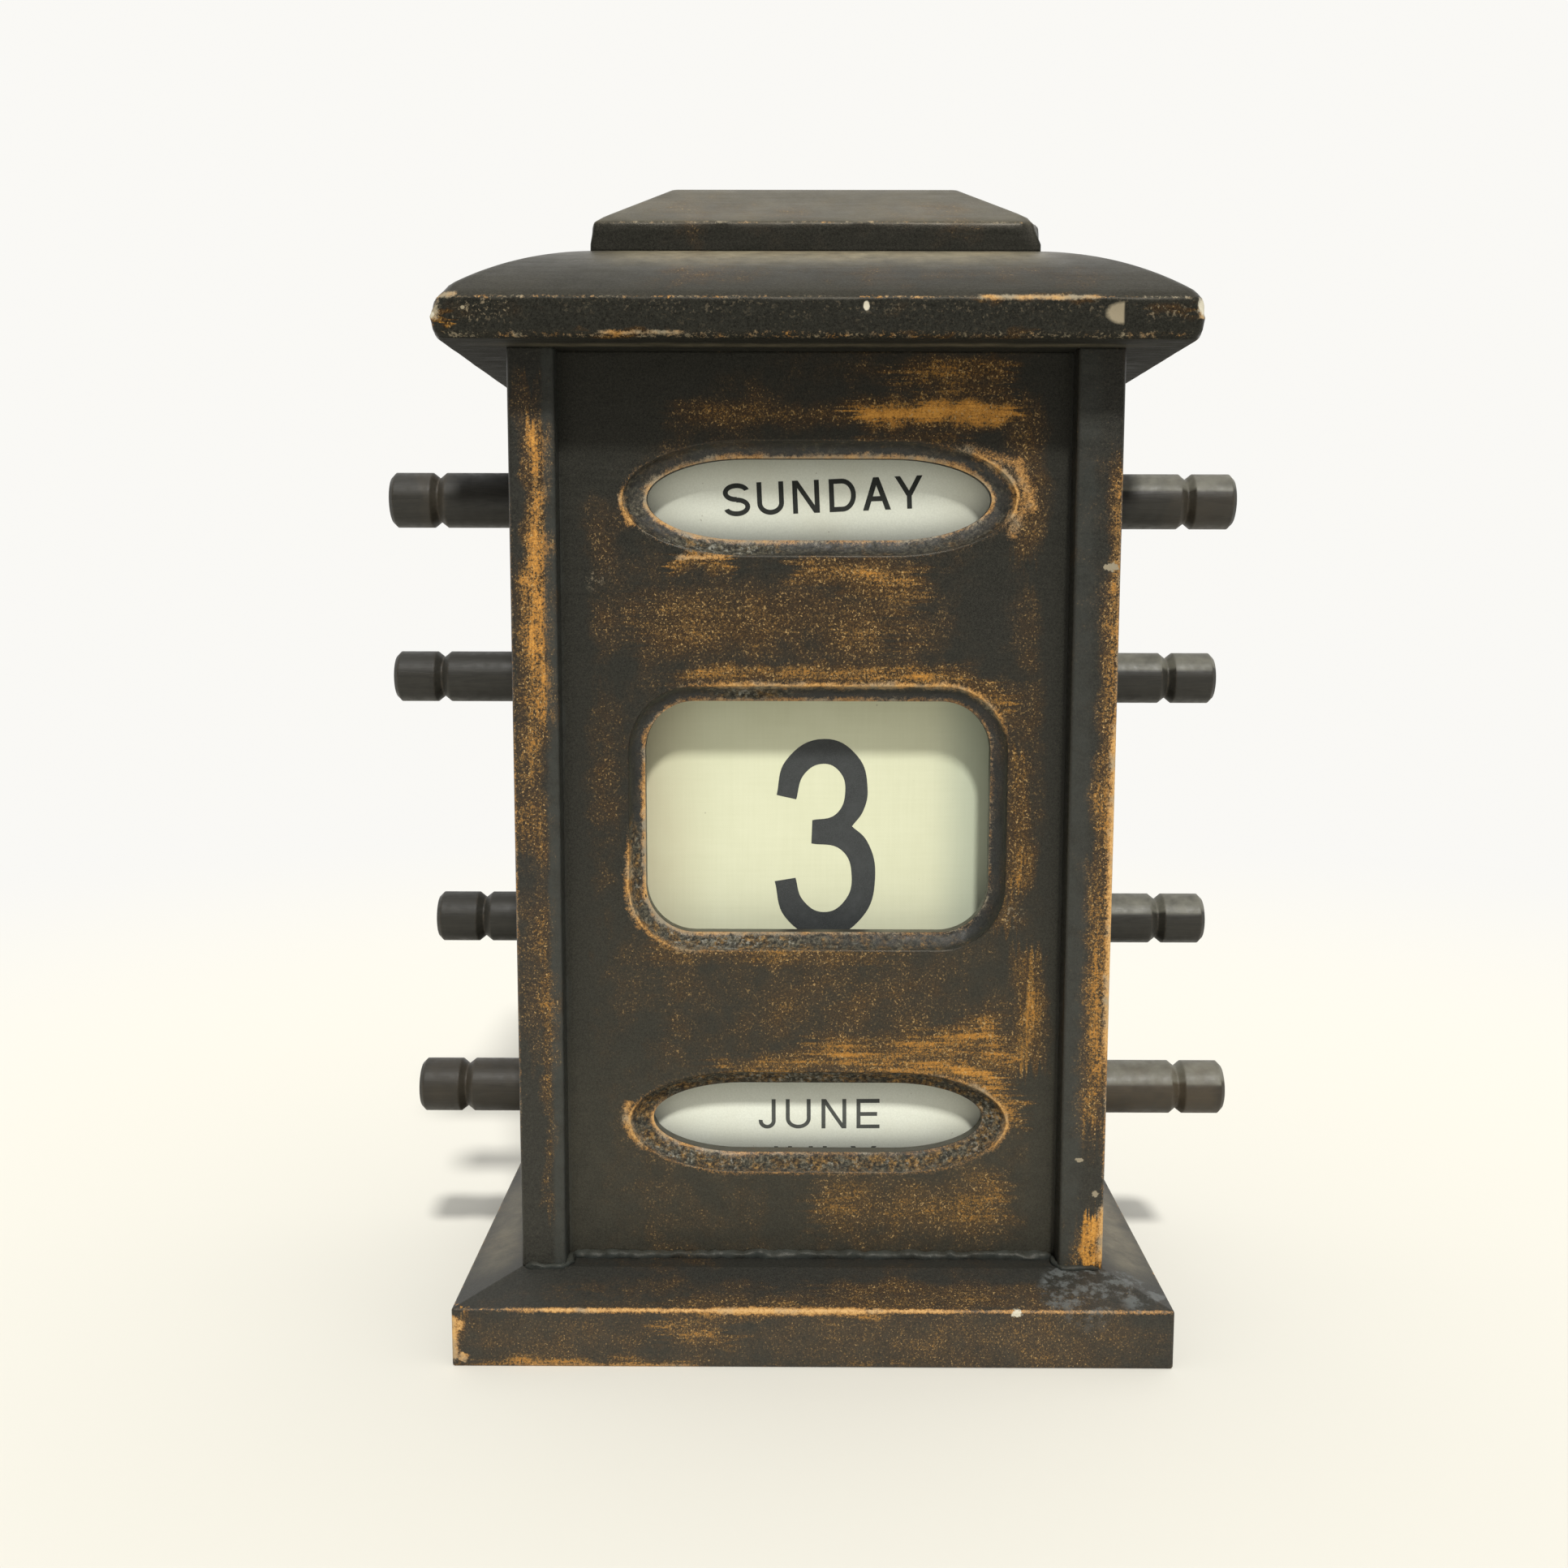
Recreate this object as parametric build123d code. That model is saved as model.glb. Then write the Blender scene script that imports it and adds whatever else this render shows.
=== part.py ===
from build123d import *
import os
from collections import namedtuple
from math import atan2, cos, hypot, pi, radians, sin, sqrt, tan

# Perpetual desk calendar: a wooden case with three windows. A weekday drum, a month drum and a
# pair of date rollers turn on shafts that stand out on both sides as knobs.
# Millimetres. Origin under the middle of the base board, +Z up, the windows face -Y.

# ---- case ----
BODY_W = 130.0          # across the outsides of the side boards
BOARD_T = 10.0          # side board thickness
BOARD_ARRIS = 0.9       # eased front arrises of the side boards

OVERHANG = 13.25        # base and cornice beyond the body, all round
BASE_EDGE_H = 13.0      # square edge of the base
BASE_BEVEL_H = 4.0      # rise of the bevel from that edge to the body
BASE_ARRIS = 0.6

CORNICE_EDGE_H = 8.2    # upright edge of the cornice
CORNICE_SOFFIT_R = 1.8  # rounding under that edge
CORNICE_CORNER_R = 1.5  # rounding of its upright corners and of the dome's hips
DOME_RUN = 29.25        # from the cornice edge in to the crown block
DOME_RISE = 14.5        # height of the dome over that run
DOME_BULGE = 2.2        # how far the dome swells beyond a straight slope

CROWN_EDGE_H = 6.3      # upright edge of the crown block
CROWN_SLOPE = 32.0      # degrees, its four slopes
CROWN_DECK_D = 12.0     # front to back of the flat deck between the slopes
CROWN_ARRIS = 0.6

# ---- panels ----
PANEL_T = 6.5           # front panel
PANEL_RECESS = 6.0      # front panel behind the front edges of the side boards
HOUSING_DEPTH = 3.0     # how far the front panel enters each side board
HOUSING_FIT = 0.1       # housing groove wider than the panel, and panel short of its bottom
BACK_T = 4.0            # back panel
BACK_RECESS = 2.0       # back panel inside the back edges of the side boards
BACK_FIT = 0.3          # gap between the back panel and each side board
CLEAT_W = 9.0           # cleats, square in section
CLEAT_SHORT = 8.0       # cleats end this far from the base and from the cornice
CLEAT_GAP = 4.0         # cleats behind the drums

# ---- shafts ----
DRUM_SHAFT_D = 12.7     # shafts of the weekday and month drums
ROLLER_SHAFT_D = 11.8   # shafts of the date rollers
SHAFT_CLEARANCE = 0.08  # radial running clearance in the side boards
SHAFT_CHAMFER = 1.0
GLUE_GAP = 0.05         # radial gap of a glued or wound piece on its shaft
KNOB_L = 11.1           # end of the shaft to the middle of its grip groove
GRIP_GROOVE_W = 3.3
GRIP_GROOVE_DEPTH = 1.3
END_PLAY = 1.0          # drum or flange to the side board

# how far each shaft stands out of the left and the right side board
WEEKDAY_KNOBS = (33.1, 32.6)
DATE_UPPER_KNOBS = (33.1, 29.3)
DATE_LOWER_KNOBS = (24.4, 28.6)
MONTH_KNOBS = (29.5, 34.7)

# ---- drums ----
LABEL_R = 22.0          # printed face of the weekday and month labels
LABEL_T = 0.25
LABEL_MARGIN = 4.0      # bare drum at each end of its label
DRUM_SETBACK = 2.5      # labels behind the back face of the front panel

# ---- date band and rollers ----
BAND_T = 0.2
DAYS = 31
DAY_PITCH = 56.0        # band length from one day number to the next
SHOWN_DAY = 3           # the day that stands in the window at rest
BAND_SIDE_GAP = 0.6     # band to each flange
BAND_ROLL_GAP = 0.3     # end of the fixed stretch of band clear of the turning roll
FLANGE_LIP = 2.6        # flanges beyond the fullest roll
FLANGE_T = 4.0
GUIDE_D = 4.0           # guide rods, in front of the flanges
GUIDE_SEAT = 5.0        # guide rods into each side board
GUIDE_GAP = 0.05
GUIDE_ROOM = 1.0        # guide rods clear of the flanges
GUIDE_ANGLE = 34.0      # degrees, how far round a flange its rod lies from straight in front

# ---- stack of turning parts, from the base up ----
MONTH_FOOT_GAP = 8.5    # base to the month drum
MONTH_GAP = 5.3         # month drum to the lower flanges
ROLLER_SPACING = 57.8   # between the axes of the date rollers
WEEKDAY_GAP = 4.6       # upper flanges to the weekday drum
WEEKDAY_HEAD_GAP = 7.8  # weekday drum to the cornice

# ---- windows ----
COVE_W = 3.4            # width of the hollow moulding around a window
COVE_END_W = 4.9        # and at the ends of the oval windows
COVE_DEPTH = 3.4        # how deep it sinks into the panel
WEEKDAY_OPEN_H = 17.5
DATE_OPEN_H = 51.8
MONTH_OPEN_H = 16.3
WEEKDAY_STILE = 17.5    # window to the inside of each side board
DATE_STILE = 16.8
MONTH_STILE = 17.7
END_STRETCH = 2.5       # half-oval window ends: their run over the window's half height
DATE_CORNER_R = 11.0
WEEKDAY_SHIFT = (0.9, -1.1)     # window centre from the drum axis, right and up
DATE_SHIFT = (0.9, -0.8)        # window centre from halfway between the rollers
MONTH_SHIFT = (1.3, 1.1)

# ---- screws ----
BACK_SCREW_D = 3.0
BACK_SCREW_L = 11.0
BACK_SCREW_INSET = 24.0 # end rows from the foot and head of the back panel
BACK_SCREW_ROWS = 3
BASE_SCREW_D = 4.0
BASE_SCREW_L = 32.0
BASE_SCREW_INSET = 16.0 # base screws from the front and back of the body
SCREW_HEAD = 1.95       # head diameter as a multiple of the shank
SCREW_FIT = 0.05        # radial gap between a screw and its hole
SCREW_SUNK = 0.3        # heads below the surface
SCREW_SLOT_W = 0.7
SCREW_SLOT_DEPTH = 0.6


def wound_radius(days):
    """Radius of a roll that holds so many days of band on its shaft."""
    core = ROLLER_SHAFT_D / 2 + GLUE_GAP
    return sqrt(core ** 2 + days * DAY_PITCH * BAND_T / pi)


# ---- rollers ----
UPPER_ROLL_R = wound_radius(SHOWN_DAY - 1)
LOWER_ROLL_R = wound_radius(DAYS - SHOWN_DAY)
FLANGE_R = wound_radius(DAYS - 1) + FLANGE_LIP

# ---- heights ----
BASE_TOP = BASE_EDGE_H + BASE_BEVEL_H
MONTH_Z = BASE_TOP + MONTH_FOOT_GAP + LABEL_R
DATE_LOWER_Z = MONTH_Z + LABEL_R + MONTH_GAP + FLANGE_R
DATE_UPPER_Z = DATE_LOWER_Z + ROLLER_SPACING
WEEKDAY_Z = DATE_UPPER_Z + FLANGE_R + WEEKDAY_GAP + LABEL_R
SOFFIT_Z = WEEKDAY_Z + LABEL_R + WEEKDAY_HEAD_GAP
BODY_H = SOFFIT_Z - BASE_TOP
BODY_MID_Z = BASE_TOP + BODY_H / 2
CORNICE_ARRIS_Z = SOFFIT_Z + CORNICE_EDGE_H
CROWN_Z = CORNICE_ARRIS_Z + DOME_RISE
CROWN_ARRIS_Z = CROWN_Z + CROWN_EDGE_H

# ---- depths, from the front edges of the side boards back ----
PANEL_BACK = PANEL_RECESS + PANEL_T
SHAFT_BACK = PANEL_BACK + DRUM_SETBACK + LABEL_R
BODY_D = SHAFT_BACK + LABEL_R + CLEAT_GAP + CLEAT_W + BACK_T + BACK_RECESS
FRONT_Y = -BODY_D / 2
BACK_Y = BODY_D / 2
PANEL_FRONT_Y = FRONT_Y + PANEL_RECESS
PANEL_BACK_Y = FRONT_Y + PANEL_BACK
SHAFT_Y = FRONT_Y + SHAFT_BACK
CLEAT_Y = BACK_Y - BACK_RECESS - BACK_T

# ---- guide rods: they lead the band over the flanges and down behind the date window ----
GUIDE_REACH = FLANGE_R + GUIDE_ROOM + GUIDE_D / 2
GUIDE_Y = SHAFT_Y - GUIDE_REACH * cos(radians(GUIDE_ANGLE))
GUIDE_UPPER_Z = DATE_UPPER_Z + GUIDE_REACH * sin(radians(GUIDE_ANGLE))
GUIDE_LOWER_Z = DATE_LOWER_Z - GUIDE_REACH * sin(radians(GUIDE_ANGLE))

# ---- widths ----
INNER_W = BODY_W - 2 * BOARD_T
PLAN_W = BODY_W + 2 * OVERHANG
PLAN_D = BODY_D + 2 * OVERHANG
CROWN_W = PLAN_W - 2 * DOME_RUN
CROWN_D = PLAN_D - 2 * DOME_RUN
DRUM_L = INNER_W - 2 * END_PLAY
BAND_W = INNER_W - 2 * (END_PLAY + FLANGE_T + BAND_SIDE_GAP)

# ---- windows: centre, half size, run of their rounded corners, moulding at their sides ----
Window = namedtuple("Window", "x z half_w half_h run_x run_z side_cove")


def oval_window(stile, height, axis_z, shift):
    """A low window with half-oval ends."""
    half_w, half_h = INNER_W / 2 - stile, height / 2
    run_x = half_h * END_STRETCH
    return Window(shift[0], axis_z + shift[1], half_w, half_h, run_x, half_h, COVE_END_W)


ROLLER_MID_Z = (DATE_UPPER_Z + DATE_LOWER_Z) / 2
WEEKDAY_WINDOW = oval_window(WEEKDAY_STILE, WEEKDAY_OPEN_H, WEEKDAY_Z, WEEKDAY_SHIFT)
MONTH_WINDOW = oval_window(MONTH_STILE, MONTH_OPEN_H, MONTH_Z, MONTH_SHIFT)
DATE_WINDOW = Window(
    DATE_SHIFT[0], ROLLER_MID_Z + DATE_SHIFT[1],
    INNER_W / 2 - DATE_STILE, DATE_OPEN_H / 2, DATE_CORNER_R, DATE_CORNER_R, COVE_W,
)

DRUM_BORES = [(WEEKDAY_Z, DRUM_SHAFT_D), (MONTH_Z, DRUM_SHAFT_D)]
ROLLER_BORES = [(DATE_UPPER_Z, ROLLER_SHAFT_D), (DATE_LOWER_Z, ROLLER_SHAFT_D)]


def block(x0, x1, y0, y1, z0, z1):
    """A box between two opposite corners."""
    middle = Pos((x0 + x1) / 2, (y0 + y1) / 2, (z0 + z1) / 2)
    return middle * Box(x1 - x0, y1 - y0, z1 - z0)


def rod(x0, x1, y, z, radius):
    """A cylinder along X."""
    return Pos((x0 + x1) / 2, y, z) * Rot(0, 90, 0) * Cylinder(radius, x1 - x0)


def ring(x0, x1, z, inner, outer):
    """A tube or a bored disc around a shaft."""
    return rod(x0, x1, SHAFT_Y, z, outer) - rod(x0 - 1, x1 + 1, SHAFT_Y, z, inner)


# ---- screws and their holes ----
def turned_screw(diameter, length, grow):
    """A countersunk screw with its head at z = 0, pointing down, grown by a clearance."""
    shank = diameter / 2 + grow
    head = diameter * SCREW_HEAD / 2 + grow
    cone = head - shank
    shoulder = diameter - length
    with BuildPart() as made:
        with BuildSketch(Plane.XZ):
            with BuildLine():
                Polyline(
                    (0, 0), (head, 0), (shank, -cone), (shank, shoulder), (0, -length - grow), (0, 0)
                )
            make_face()
        revolve(axis=Axis.Z)
    return made.part


def screw(diameter, length):
    slot = Box(diameter * SCREW_HEAD, SCREW_SLOT_W, 2 * SCREW_SLOT_DEPTH)
    return turned_screw(diameter, length, 0) - slot


def screw_hole(diameter, length):
    mouth = Cylinder(diameter * SCREW_HEAD / 2 + SCREW_FIT, 2 * SCREW_SUNK)
    return turned_screw(diameter, length, SCREW_FIT) + Pos(0, 0, SCREW_SUNK) * mouth


def back_screw_places():
    """Screws through the back panel into the cleats, heads facing +Y."""
    cleat_x = INNER_W / 2 - CLEAT_W / 2
    face_y = BACK_Y - BACK_RECESS - SCREW_SUNK
    step = (BODY_H - 2 * BACK_SCREW_INSET) / (BACK_SCREW_ROWS - 1)
    for side in (-1, 1):
        for row in range(BACK_SCREW_ROWS):
            z = BASE_TOP + BACK_SCREW_INSET + row * step
            yield Pos(side * cleat_x, face_y, z) * Rot(-90, 0, 0)


def base_screw_places():
    """Screws up through the base board into the side boards, heads facing down."""
    board_x = BODY_W / 2 - BOARD_T / 2
    for side in (-1, 1):
        for end in (-1, 1):
            y = end * (BODY_D / 2 - BASE_SCREW_INSET)
            yield Pos(side * board_x, y, SCREW_SUNK) * Rot(180, 0, 0)


BACK_HOLES = [place * screw_hole(BACK_SCREW_D, BACK_SCREW_L) for place in back_screw_places()]
BASE_HOLES = [place * screw_hole(BASE_SCREW_D, BASE_SCREW_L) for place in base_screw_places()]


# ---- case pieces ----
def make_base():
    slab = block(-PLAN_W / 2, PLAN_W / 2, -PLAN_D / 2, PLAN_D / 2, 0, BASE_EDGE_H)
    foot = Plane.XY.offset(BASE_EDGE_H) * Rectangle(PLAN_W, PLAN_D)
    seat = Plane.XY.offset(BASE_TOP) * Rectangle(BODY_W, BODY_D)
    board = slab + loft([foot, seat])
    board = fillet([e for e in board.edges() if e.center().Z < BASE_EDGE_H + 0.1], BASE_ARRIS)
    for hole in BASE_HOLES:
        board -= hole
    return board


def make_side_board(side):
    x0, x1 = sorted((side * INNER_W / 2, side * BODY_W / 2))
    board = block(x0, x1, FRONT_Y, BACK_Y, BASE_TOP, SOFFIT_Z)
    upright = board.edges().filter_by(Axis.Z)
    board = fillet([e for e in upright if e.center().Y < 0], BOARD_ARRIS)
    groove_x = side * (INNER_W / 2 + HOUSING_DEPTH / 2)
    groove_y = (PANEL_FRONT_Y + PANEL_BACK_Y) / 2
    board -= Pos(groove_x, groove_y, BODY_MID_Z) * Box(HOUSING_DEPTH, PANEL_T + HOUSING_FIT, BODY_H)
    for z, diameter in DRUM_BORES + ROLLER_BORES:
        board -= rod(x0 - 1, x1 + 1, SHAFT_Y, z, diameter / 2 + SHAFT_CLEARANCE)
    seat_x = sorted((side * (INNER_W / 2 - 1), side * (INNER_W / 2 + GUIDE_SEAT)))
    for z in (GUIDE_UPPER_Z, GUIDE_LOWER_Z):
        board -= rod(*seat_x, GUIDE_Y, z, GUIDE_D / 2 + GUIDE_GAP)
    for hole in BASE_HOLES:
        board -= hole
    return board


def window_outline(window, depth, share):
    """Outline of a window with a share of its moulding, that far behind the panel's face."""
    origin = (window.x, PANEL_FRONT_Y + depth, window.z)
    flat_x = window.half_w - window.run_x
    flat_z = window.half_h - window.run_z
    rx = window.run_x + window.side_cove * share
    rz = window.run_z + COVE_W * share
    with BuildSketch(Plane(origin=origin, x_dir=(1, 0, 0), z_dir=(0, -1, 0))) as sketch:
        with BuildLine():
            for sx, sz, start in ((1, 1, 0), (-1, 1, 90), (-1, -1, 180), (1, -1, 270)):
                EllipticalCenterArc((sx * flat_x, sz * flat_z), rx, rz, start, arc_size=90)
            for end in (-1, 1):
                Line((-flat_x, end * (flat_z + rz)), (flat_x, end * (flat_z + rz)))
                if flat_z > 0:
                    Line((end * (flat_x + rx), -flat_z), (end * (flat_x + rx), flat_z))
        make_face()
    return sketch.sketch


def window_cut(window):
    """A straight opening with a hollow moulding sunk around its front."""
    turns = [radians(a) for a in (0, 18, 36, 54, 72, 90)]
    hollow = loft([window_outline(window, COVE_DEPTH * sin(a), cos(a)) for a in turns])
    return hollow + extrude(window_outline(window, 0, 0), PANEL_T + 1, both=True)


def make_front_panel():
    half = INNER_W / 2 + HOUSING_DEPTH - HOUSING_FIT
    panel = block(-half, half, PANEL_FRONT_Y, PANEL_BACK_Y, BASE_TOP, SOFFIT_Z)
    for window in (WEEKDAY_WINDOW, DATE_WINDOW, MONTH_WINDOW):
        panel -= window_cut(window)
    return panel


def make_back_panel():
    half = INNER_W / 2 - BACK_FIT
    panel = block(-half, half, CLEAT_Y, CLEAT_Y + BACK_T, BASE_TOP, SOFFIT_Z)
    for hole in BACK_HOLES:
        panel -= hole
    return panel


def make_cleat(side):
    x0, x1 = sorted((side * INNER_W / 2, side * (INNER_W / 2 - CLEAT_W)))
    low, high = BASE_TOP + CLEAT_SHORT, SOFFIT_Z - CLEAT_SHORT
    cleat = block(x0, x1, CLEAT_Y - CLEAT_W, CLEAT_Y, low, high)
    for hole in BACK_HOLES:
        cleat -= hole
    return cleat


def dome_section(half):
    """Section of the cornice under the crown, from one edge across to the other."""
    crown_x = half - DOME_RUN
    chord = hypot(DOME_RUN, DOME_RISE)
    swell_x = half - DOME_RUN / 2 + DOME_BULGE * DOME_RISE / chord
    swell_z = CORNICE_ARRIS_Z + DOME_RISE / 2 + DOME_BULGE * DOME_RUN / chord
    with BuildLine() as line:
        Polyline(
            (-half, CORNICE_ARRIS_Z), (-half, SOFFIT_Z), (half, SOFFIT_Z), (half, CORNICE_ARRIS_Z)
        )
        ThreePointArc((half, CORNICE_ARRIS_Z), (swell_x, swell_z), (crown_x, CROWN_Z))
        Line((crown_x, CROWN_Z), (-crown_x, CROWN_Z))
        ThreePointArc((-crown_x, CROWN_Z), (-swell_x, swell_z), (-half, CORNICE_ARRIS_Z))
    return make_face(line.edges())


def make_cornice():
    """Two domed lengths crossing, so that they meet in a hip at each corner."""
    across = extrude(Plane.XZ * dome_section(PLAN_W / 2), PLAN_D / 2, both=True)
    deep = extrude(Plane.YZ * dome_section(PLAN_D / 2), PLAN_W / 2, both=True)
    board = across & deep
    off_middle = [e for e in board.edges() if min(abs(e.center().X), abs(e.center().Y)) > 1]
    board = fillet(off_middle, CORNICE_CORNER_R)
    return fillet(board.faces().sort_by(Axis.Z)[0].edges(), CORNICE_SOFFIT_R)


def make_crown():
    slab = block(-CROWN_W / 2, CROWN_W / 2, -CROWN_D / 2, CROWN_D / 2, CROWN_Z, CROWN_ARRIS_Z)
    run = (CROWN_D - CROWN_DECK_D) / 2
    deck_z = CROWN_ARRIS_Z + run * tan(radians(CROWN_SLOPE))
    foot = Plane.XY.offset(CROWN_ARRIS_Z) * Rectangle(CROWN_W, CROWN_D)
    deck = Plane.XY.offset(deck_z) * Rectangle(CROWN_W - 2 * run, CROWN_DECK_D)
    crown = slab + loft([foot, deck])
    return fillet([e for e in crown.edges() if e.center().Z > CROWN_Z + 0.1], CROWN_ARRIS)


# ---- turning pieces ----
def make_shaft(z, diameter, knobs):
    """A shaft with a turned grip groove and an eased end on each side."""
    left, right = [-BODY_W / 2 - knobs[0], BODY_W / 2 + knobs[1]]
    r = diameter / 2
    c = SHAFT_CHAMFER
    w = GRIP_GROOVE_W / 2
    deep = r - GRIP_GROOVE_DEPTH
    g0, g1 = left + KNOB_L, right - KNOB_L
    with BuildPart() as made:
        with BuildSketch(Plane.XY):
            with BuildLine():
                Polyline(
                    (left, 0), (left, r - c), (left + c, r),
                    (g0 - w, r), (g0, deep), (g0 + w, r),
                    (g1 - w, r), (g1, deep), (g1 + w, r),
                    (right - c, r), (right, r - c), (right, 0), (left, 0),
                )
            make_face()
        revolve(axis=Axis.X)
    return Pos(0, SHAFT_Y, z) * made.part


def make_drum(z):
    face = LABEL_R - LABEL_T - GLUE_GAP
    return ring(-DRUM_L / 2, DRUM_L / 2, z, DRUM_SHAFT_D / 2 + GLUE_GAP, face)


def make_label(z):
    half = DRUM_L / 2 - LABEL_MARGIN
    return ring(-half, half, z, LABEL_R - LABEL_T, LABEL_R)


def make_flange(z, side):
    outer = INNER_W / 2 - END_PLAY
    x0, x1 = sorted((side * (outer - FLANGE_T), side * outer))
    return ring(x0, x1, z, ROLLER_SHAFT_D / 2 + GLUE_GAP, FLANGE_R)


def make_roll(z, radius):
    return ring(-BAND_W / 2, BAND_W / 2, z, ROLLER_SHAFT_D / 2 + GLUE_GAP, radius)


def make_guide(z):
    half = INNER_W / 2 + GUIDE_SEAT
    return rod(-half, half, GUIDE_Y, z, GUIDE_D / 2)


def band_leg(end, shaft_z, roll_r, guide_z, offset):
    """The band from its roll over a guide rod, as (y, z) points; end is 1 above, -1 below."""
    roll = roll_r + BAND_ROLL_GAP + offset
    guide = GUIDE_D / 2 + GUIDE_GAP + offset
    dy, dz = GUIDE_Y - SHAFT_Y, end * (guide_z - shaft_z)
    span = hypot(dy, dz)
    tangent = sqrt(span ** 2 - (roll - guide) ** 2)
    tilt = atan2(dz, dy) - atan2(tangent, roll - guide)
    lift_off = (SHAFT_Y + roll * cos(tilt), shaft_z + end * roll * sin(tilt))
    touch = (GUIDE_Y + guide * cos(tilt), guide_z + end * guide * sin(tilt))
    crest_turn = (tilt + pi) / 2
    crest = (GUIDE_Y + guide * cos(crest_turn), guide_z + end * guide * sin(crest_turn))
    front = (GUIDE_Y - guide, guide_z)
    return lift_off, touch, crest, front


def make_band():
    """The band from the upper roll, down behind the date window, to the lower roll."""
    faces = [
        (
            band_leg(1, DATE_UPPER_Z, UPPER_ROLL_R, GUIDE_UPPER_Z, offset),
            band_leg(-1, DATE_LOWER_Z, LOWER_ROLL_R, GUIDE_LOWER_Z, offset),
        )
        for offset in (0, BAND_T)
    ]
    with BuildPart() as made:
        with BuildSketch(Plane.YZ):
            with BuildLine():
                for upper, lower in faces:
                    for lift_off, touch, crest, front in (upper, lower):
                        Line(lift_off, touch)
                        ThreePointArc(touch, crest, front)
                    Line(upper[-1], lower[-1])
                for near, far in zip(*faces):
                    Line(near[0], far[0])
            make_face()
        extrude(amount=BAND_W / 2, both=True)
    return made.part


nodes = {
    "base_board": make_base(),
    "side_board_left": make_side_board(-1),
    "side_board_right": make_side_board(1),
    "front_panel": make_front_panel(),
    "back_panel": make_back_panel(),
    "back_cleat_left": make_cleat(-1),
    "back_cleat_right": make_cleat(1),
    "cornice_board": make_cornice(),
    "crown_block": make_crown(),
    "guide_rod_upper": make_guide(GUIDE_UPPER_Z),
    "guide_rod_lower": make_guide(GUIDE_LOWER_Z),
    "date_band": make_band(),
    "back_screws": Compound([p * screw(BACK_SCREW_D, BACK_SCREW_L) for p in back_screw_places()]),
    "base_screws": Compound([p * screw(BASE_SCREW_D, BASE_SCREW_L) for p in base_screw_places()]),
}
for day_part, z, knobs in (("weekday", WEEKDAY_Z, WEEKDAY_KNOBS), ("month", MONTH_Z, MONTH_KNOBS)):
    nodes[f"{day_part}_shaft"] = make_shaft(z, DRUM_SHAFT_D, knobs)
    nodes[f"{day_part}_drum"] = make_drum(z)
    nodes[f"{day_part}_label"] = make_label(z)
for place, z, knobs, radius in (
    ("upper", DATE_UPPER_Z, DATE_UPPER_KNOBS, UPPER_ROLL_R),
    ("lower", DATE_LOWER_Z, DATE_LOWER_KNOBS, LOWER_ROLL_R),
):
    nodes[f"date_{place}_shaft"] = make_shaft(z, ROLLER_SHAFT_D, knobs)
    nodes[f"date_{place}_roll"] = make_roll(z, radius)
    nodes[f"date_{place}_flange_left"] = make_flange(z, -1)
    nodes[f"date_{place}_flange_right"] = make_flange(z, 1)

os.makedirs("parts", exist_ok=True)
for name, shape in nodes.items():
    export_step(shape, f"parts/{name}.step")
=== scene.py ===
from collections import namedtuple
from math import ceil, cos, hypot, pi, radians, sin

import bmesh
import bpy
from mathutils import Matrix, Vector, noise


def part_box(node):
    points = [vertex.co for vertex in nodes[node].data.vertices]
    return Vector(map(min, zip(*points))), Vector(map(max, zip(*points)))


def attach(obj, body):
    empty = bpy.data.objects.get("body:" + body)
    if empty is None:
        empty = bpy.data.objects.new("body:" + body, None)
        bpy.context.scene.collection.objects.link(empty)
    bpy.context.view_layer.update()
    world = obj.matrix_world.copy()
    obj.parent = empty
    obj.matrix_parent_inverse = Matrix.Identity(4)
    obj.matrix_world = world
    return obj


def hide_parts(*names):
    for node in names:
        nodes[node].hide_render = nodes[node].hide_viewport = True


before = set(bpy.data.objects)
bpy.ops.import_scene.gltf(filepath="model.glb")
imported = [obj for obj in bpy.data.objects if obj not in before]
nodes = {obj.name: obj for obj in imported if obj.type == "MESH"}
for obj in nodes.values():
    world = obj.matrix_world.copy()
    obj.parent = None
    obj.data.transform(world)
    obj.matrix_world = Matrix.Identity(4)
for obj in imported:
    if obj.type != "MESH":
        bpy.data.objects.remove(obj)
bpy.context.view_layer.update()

# Sizes are in millimetres until a point goes into a mesh.
MM = 0.001


def node_box(name):
    """Lowest and highest corner of a CAD piece, in millimetres."""
    low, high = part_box(name)
    return Vector(low) / MM, Vector(high) / MM


def middle_height(name):
    """Height of the middle of a CAD piece, in millimetres."""
    low, high = node_box(name)
    return (low.z + high.z) / 2


# ---- places taken from the case ----
LABEL_LOW, LABEL_HIGH = node_box("weekday_label")
BASE_LOW, BASE_HIGH = node_box("base_board")
LEFT_LOW, LEFT_HIGH = node_box("side_board_left")
CORNICE_LOW, CORNICE_HIGH = node_box("cornice_board")
CROWN_LOW, CROWN_HIGH = node_box("crown_block")

LABEL_R = (LABEL_HIGH.z - LABEL_LOW.z) / 2
SHAFT_Y = (LABEL_LOW.y + LABEL_HIGH.y) / 2
SHAFT_Z = {part: middle_height(f"{part}_label") for part in ("weekday", "month")}
SHAFT_HEIGHTS = [middle_height(f"{part}_shaft") for part in ("month", "date_lower", "date_upper", "weekday")]
PANEL_Y = node_box("front_panel")[0].y
BAND_Y = node_box("date_band")[0].y
BODY_Y = LEFT_LOW.y
EDGE_Y = BASE_LOW.y
BODY_HALF_W = -LEFT_LOW.x
STILE_W = LEFT_HIGH.x - LEFT_LOW.x
HALF_PLAN = (BASE_HIGH.x, BASE_HIGH.y)
HALF_CROWN = (CROWN_HIGH.x, CROWN_HIGH.y)

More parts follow.
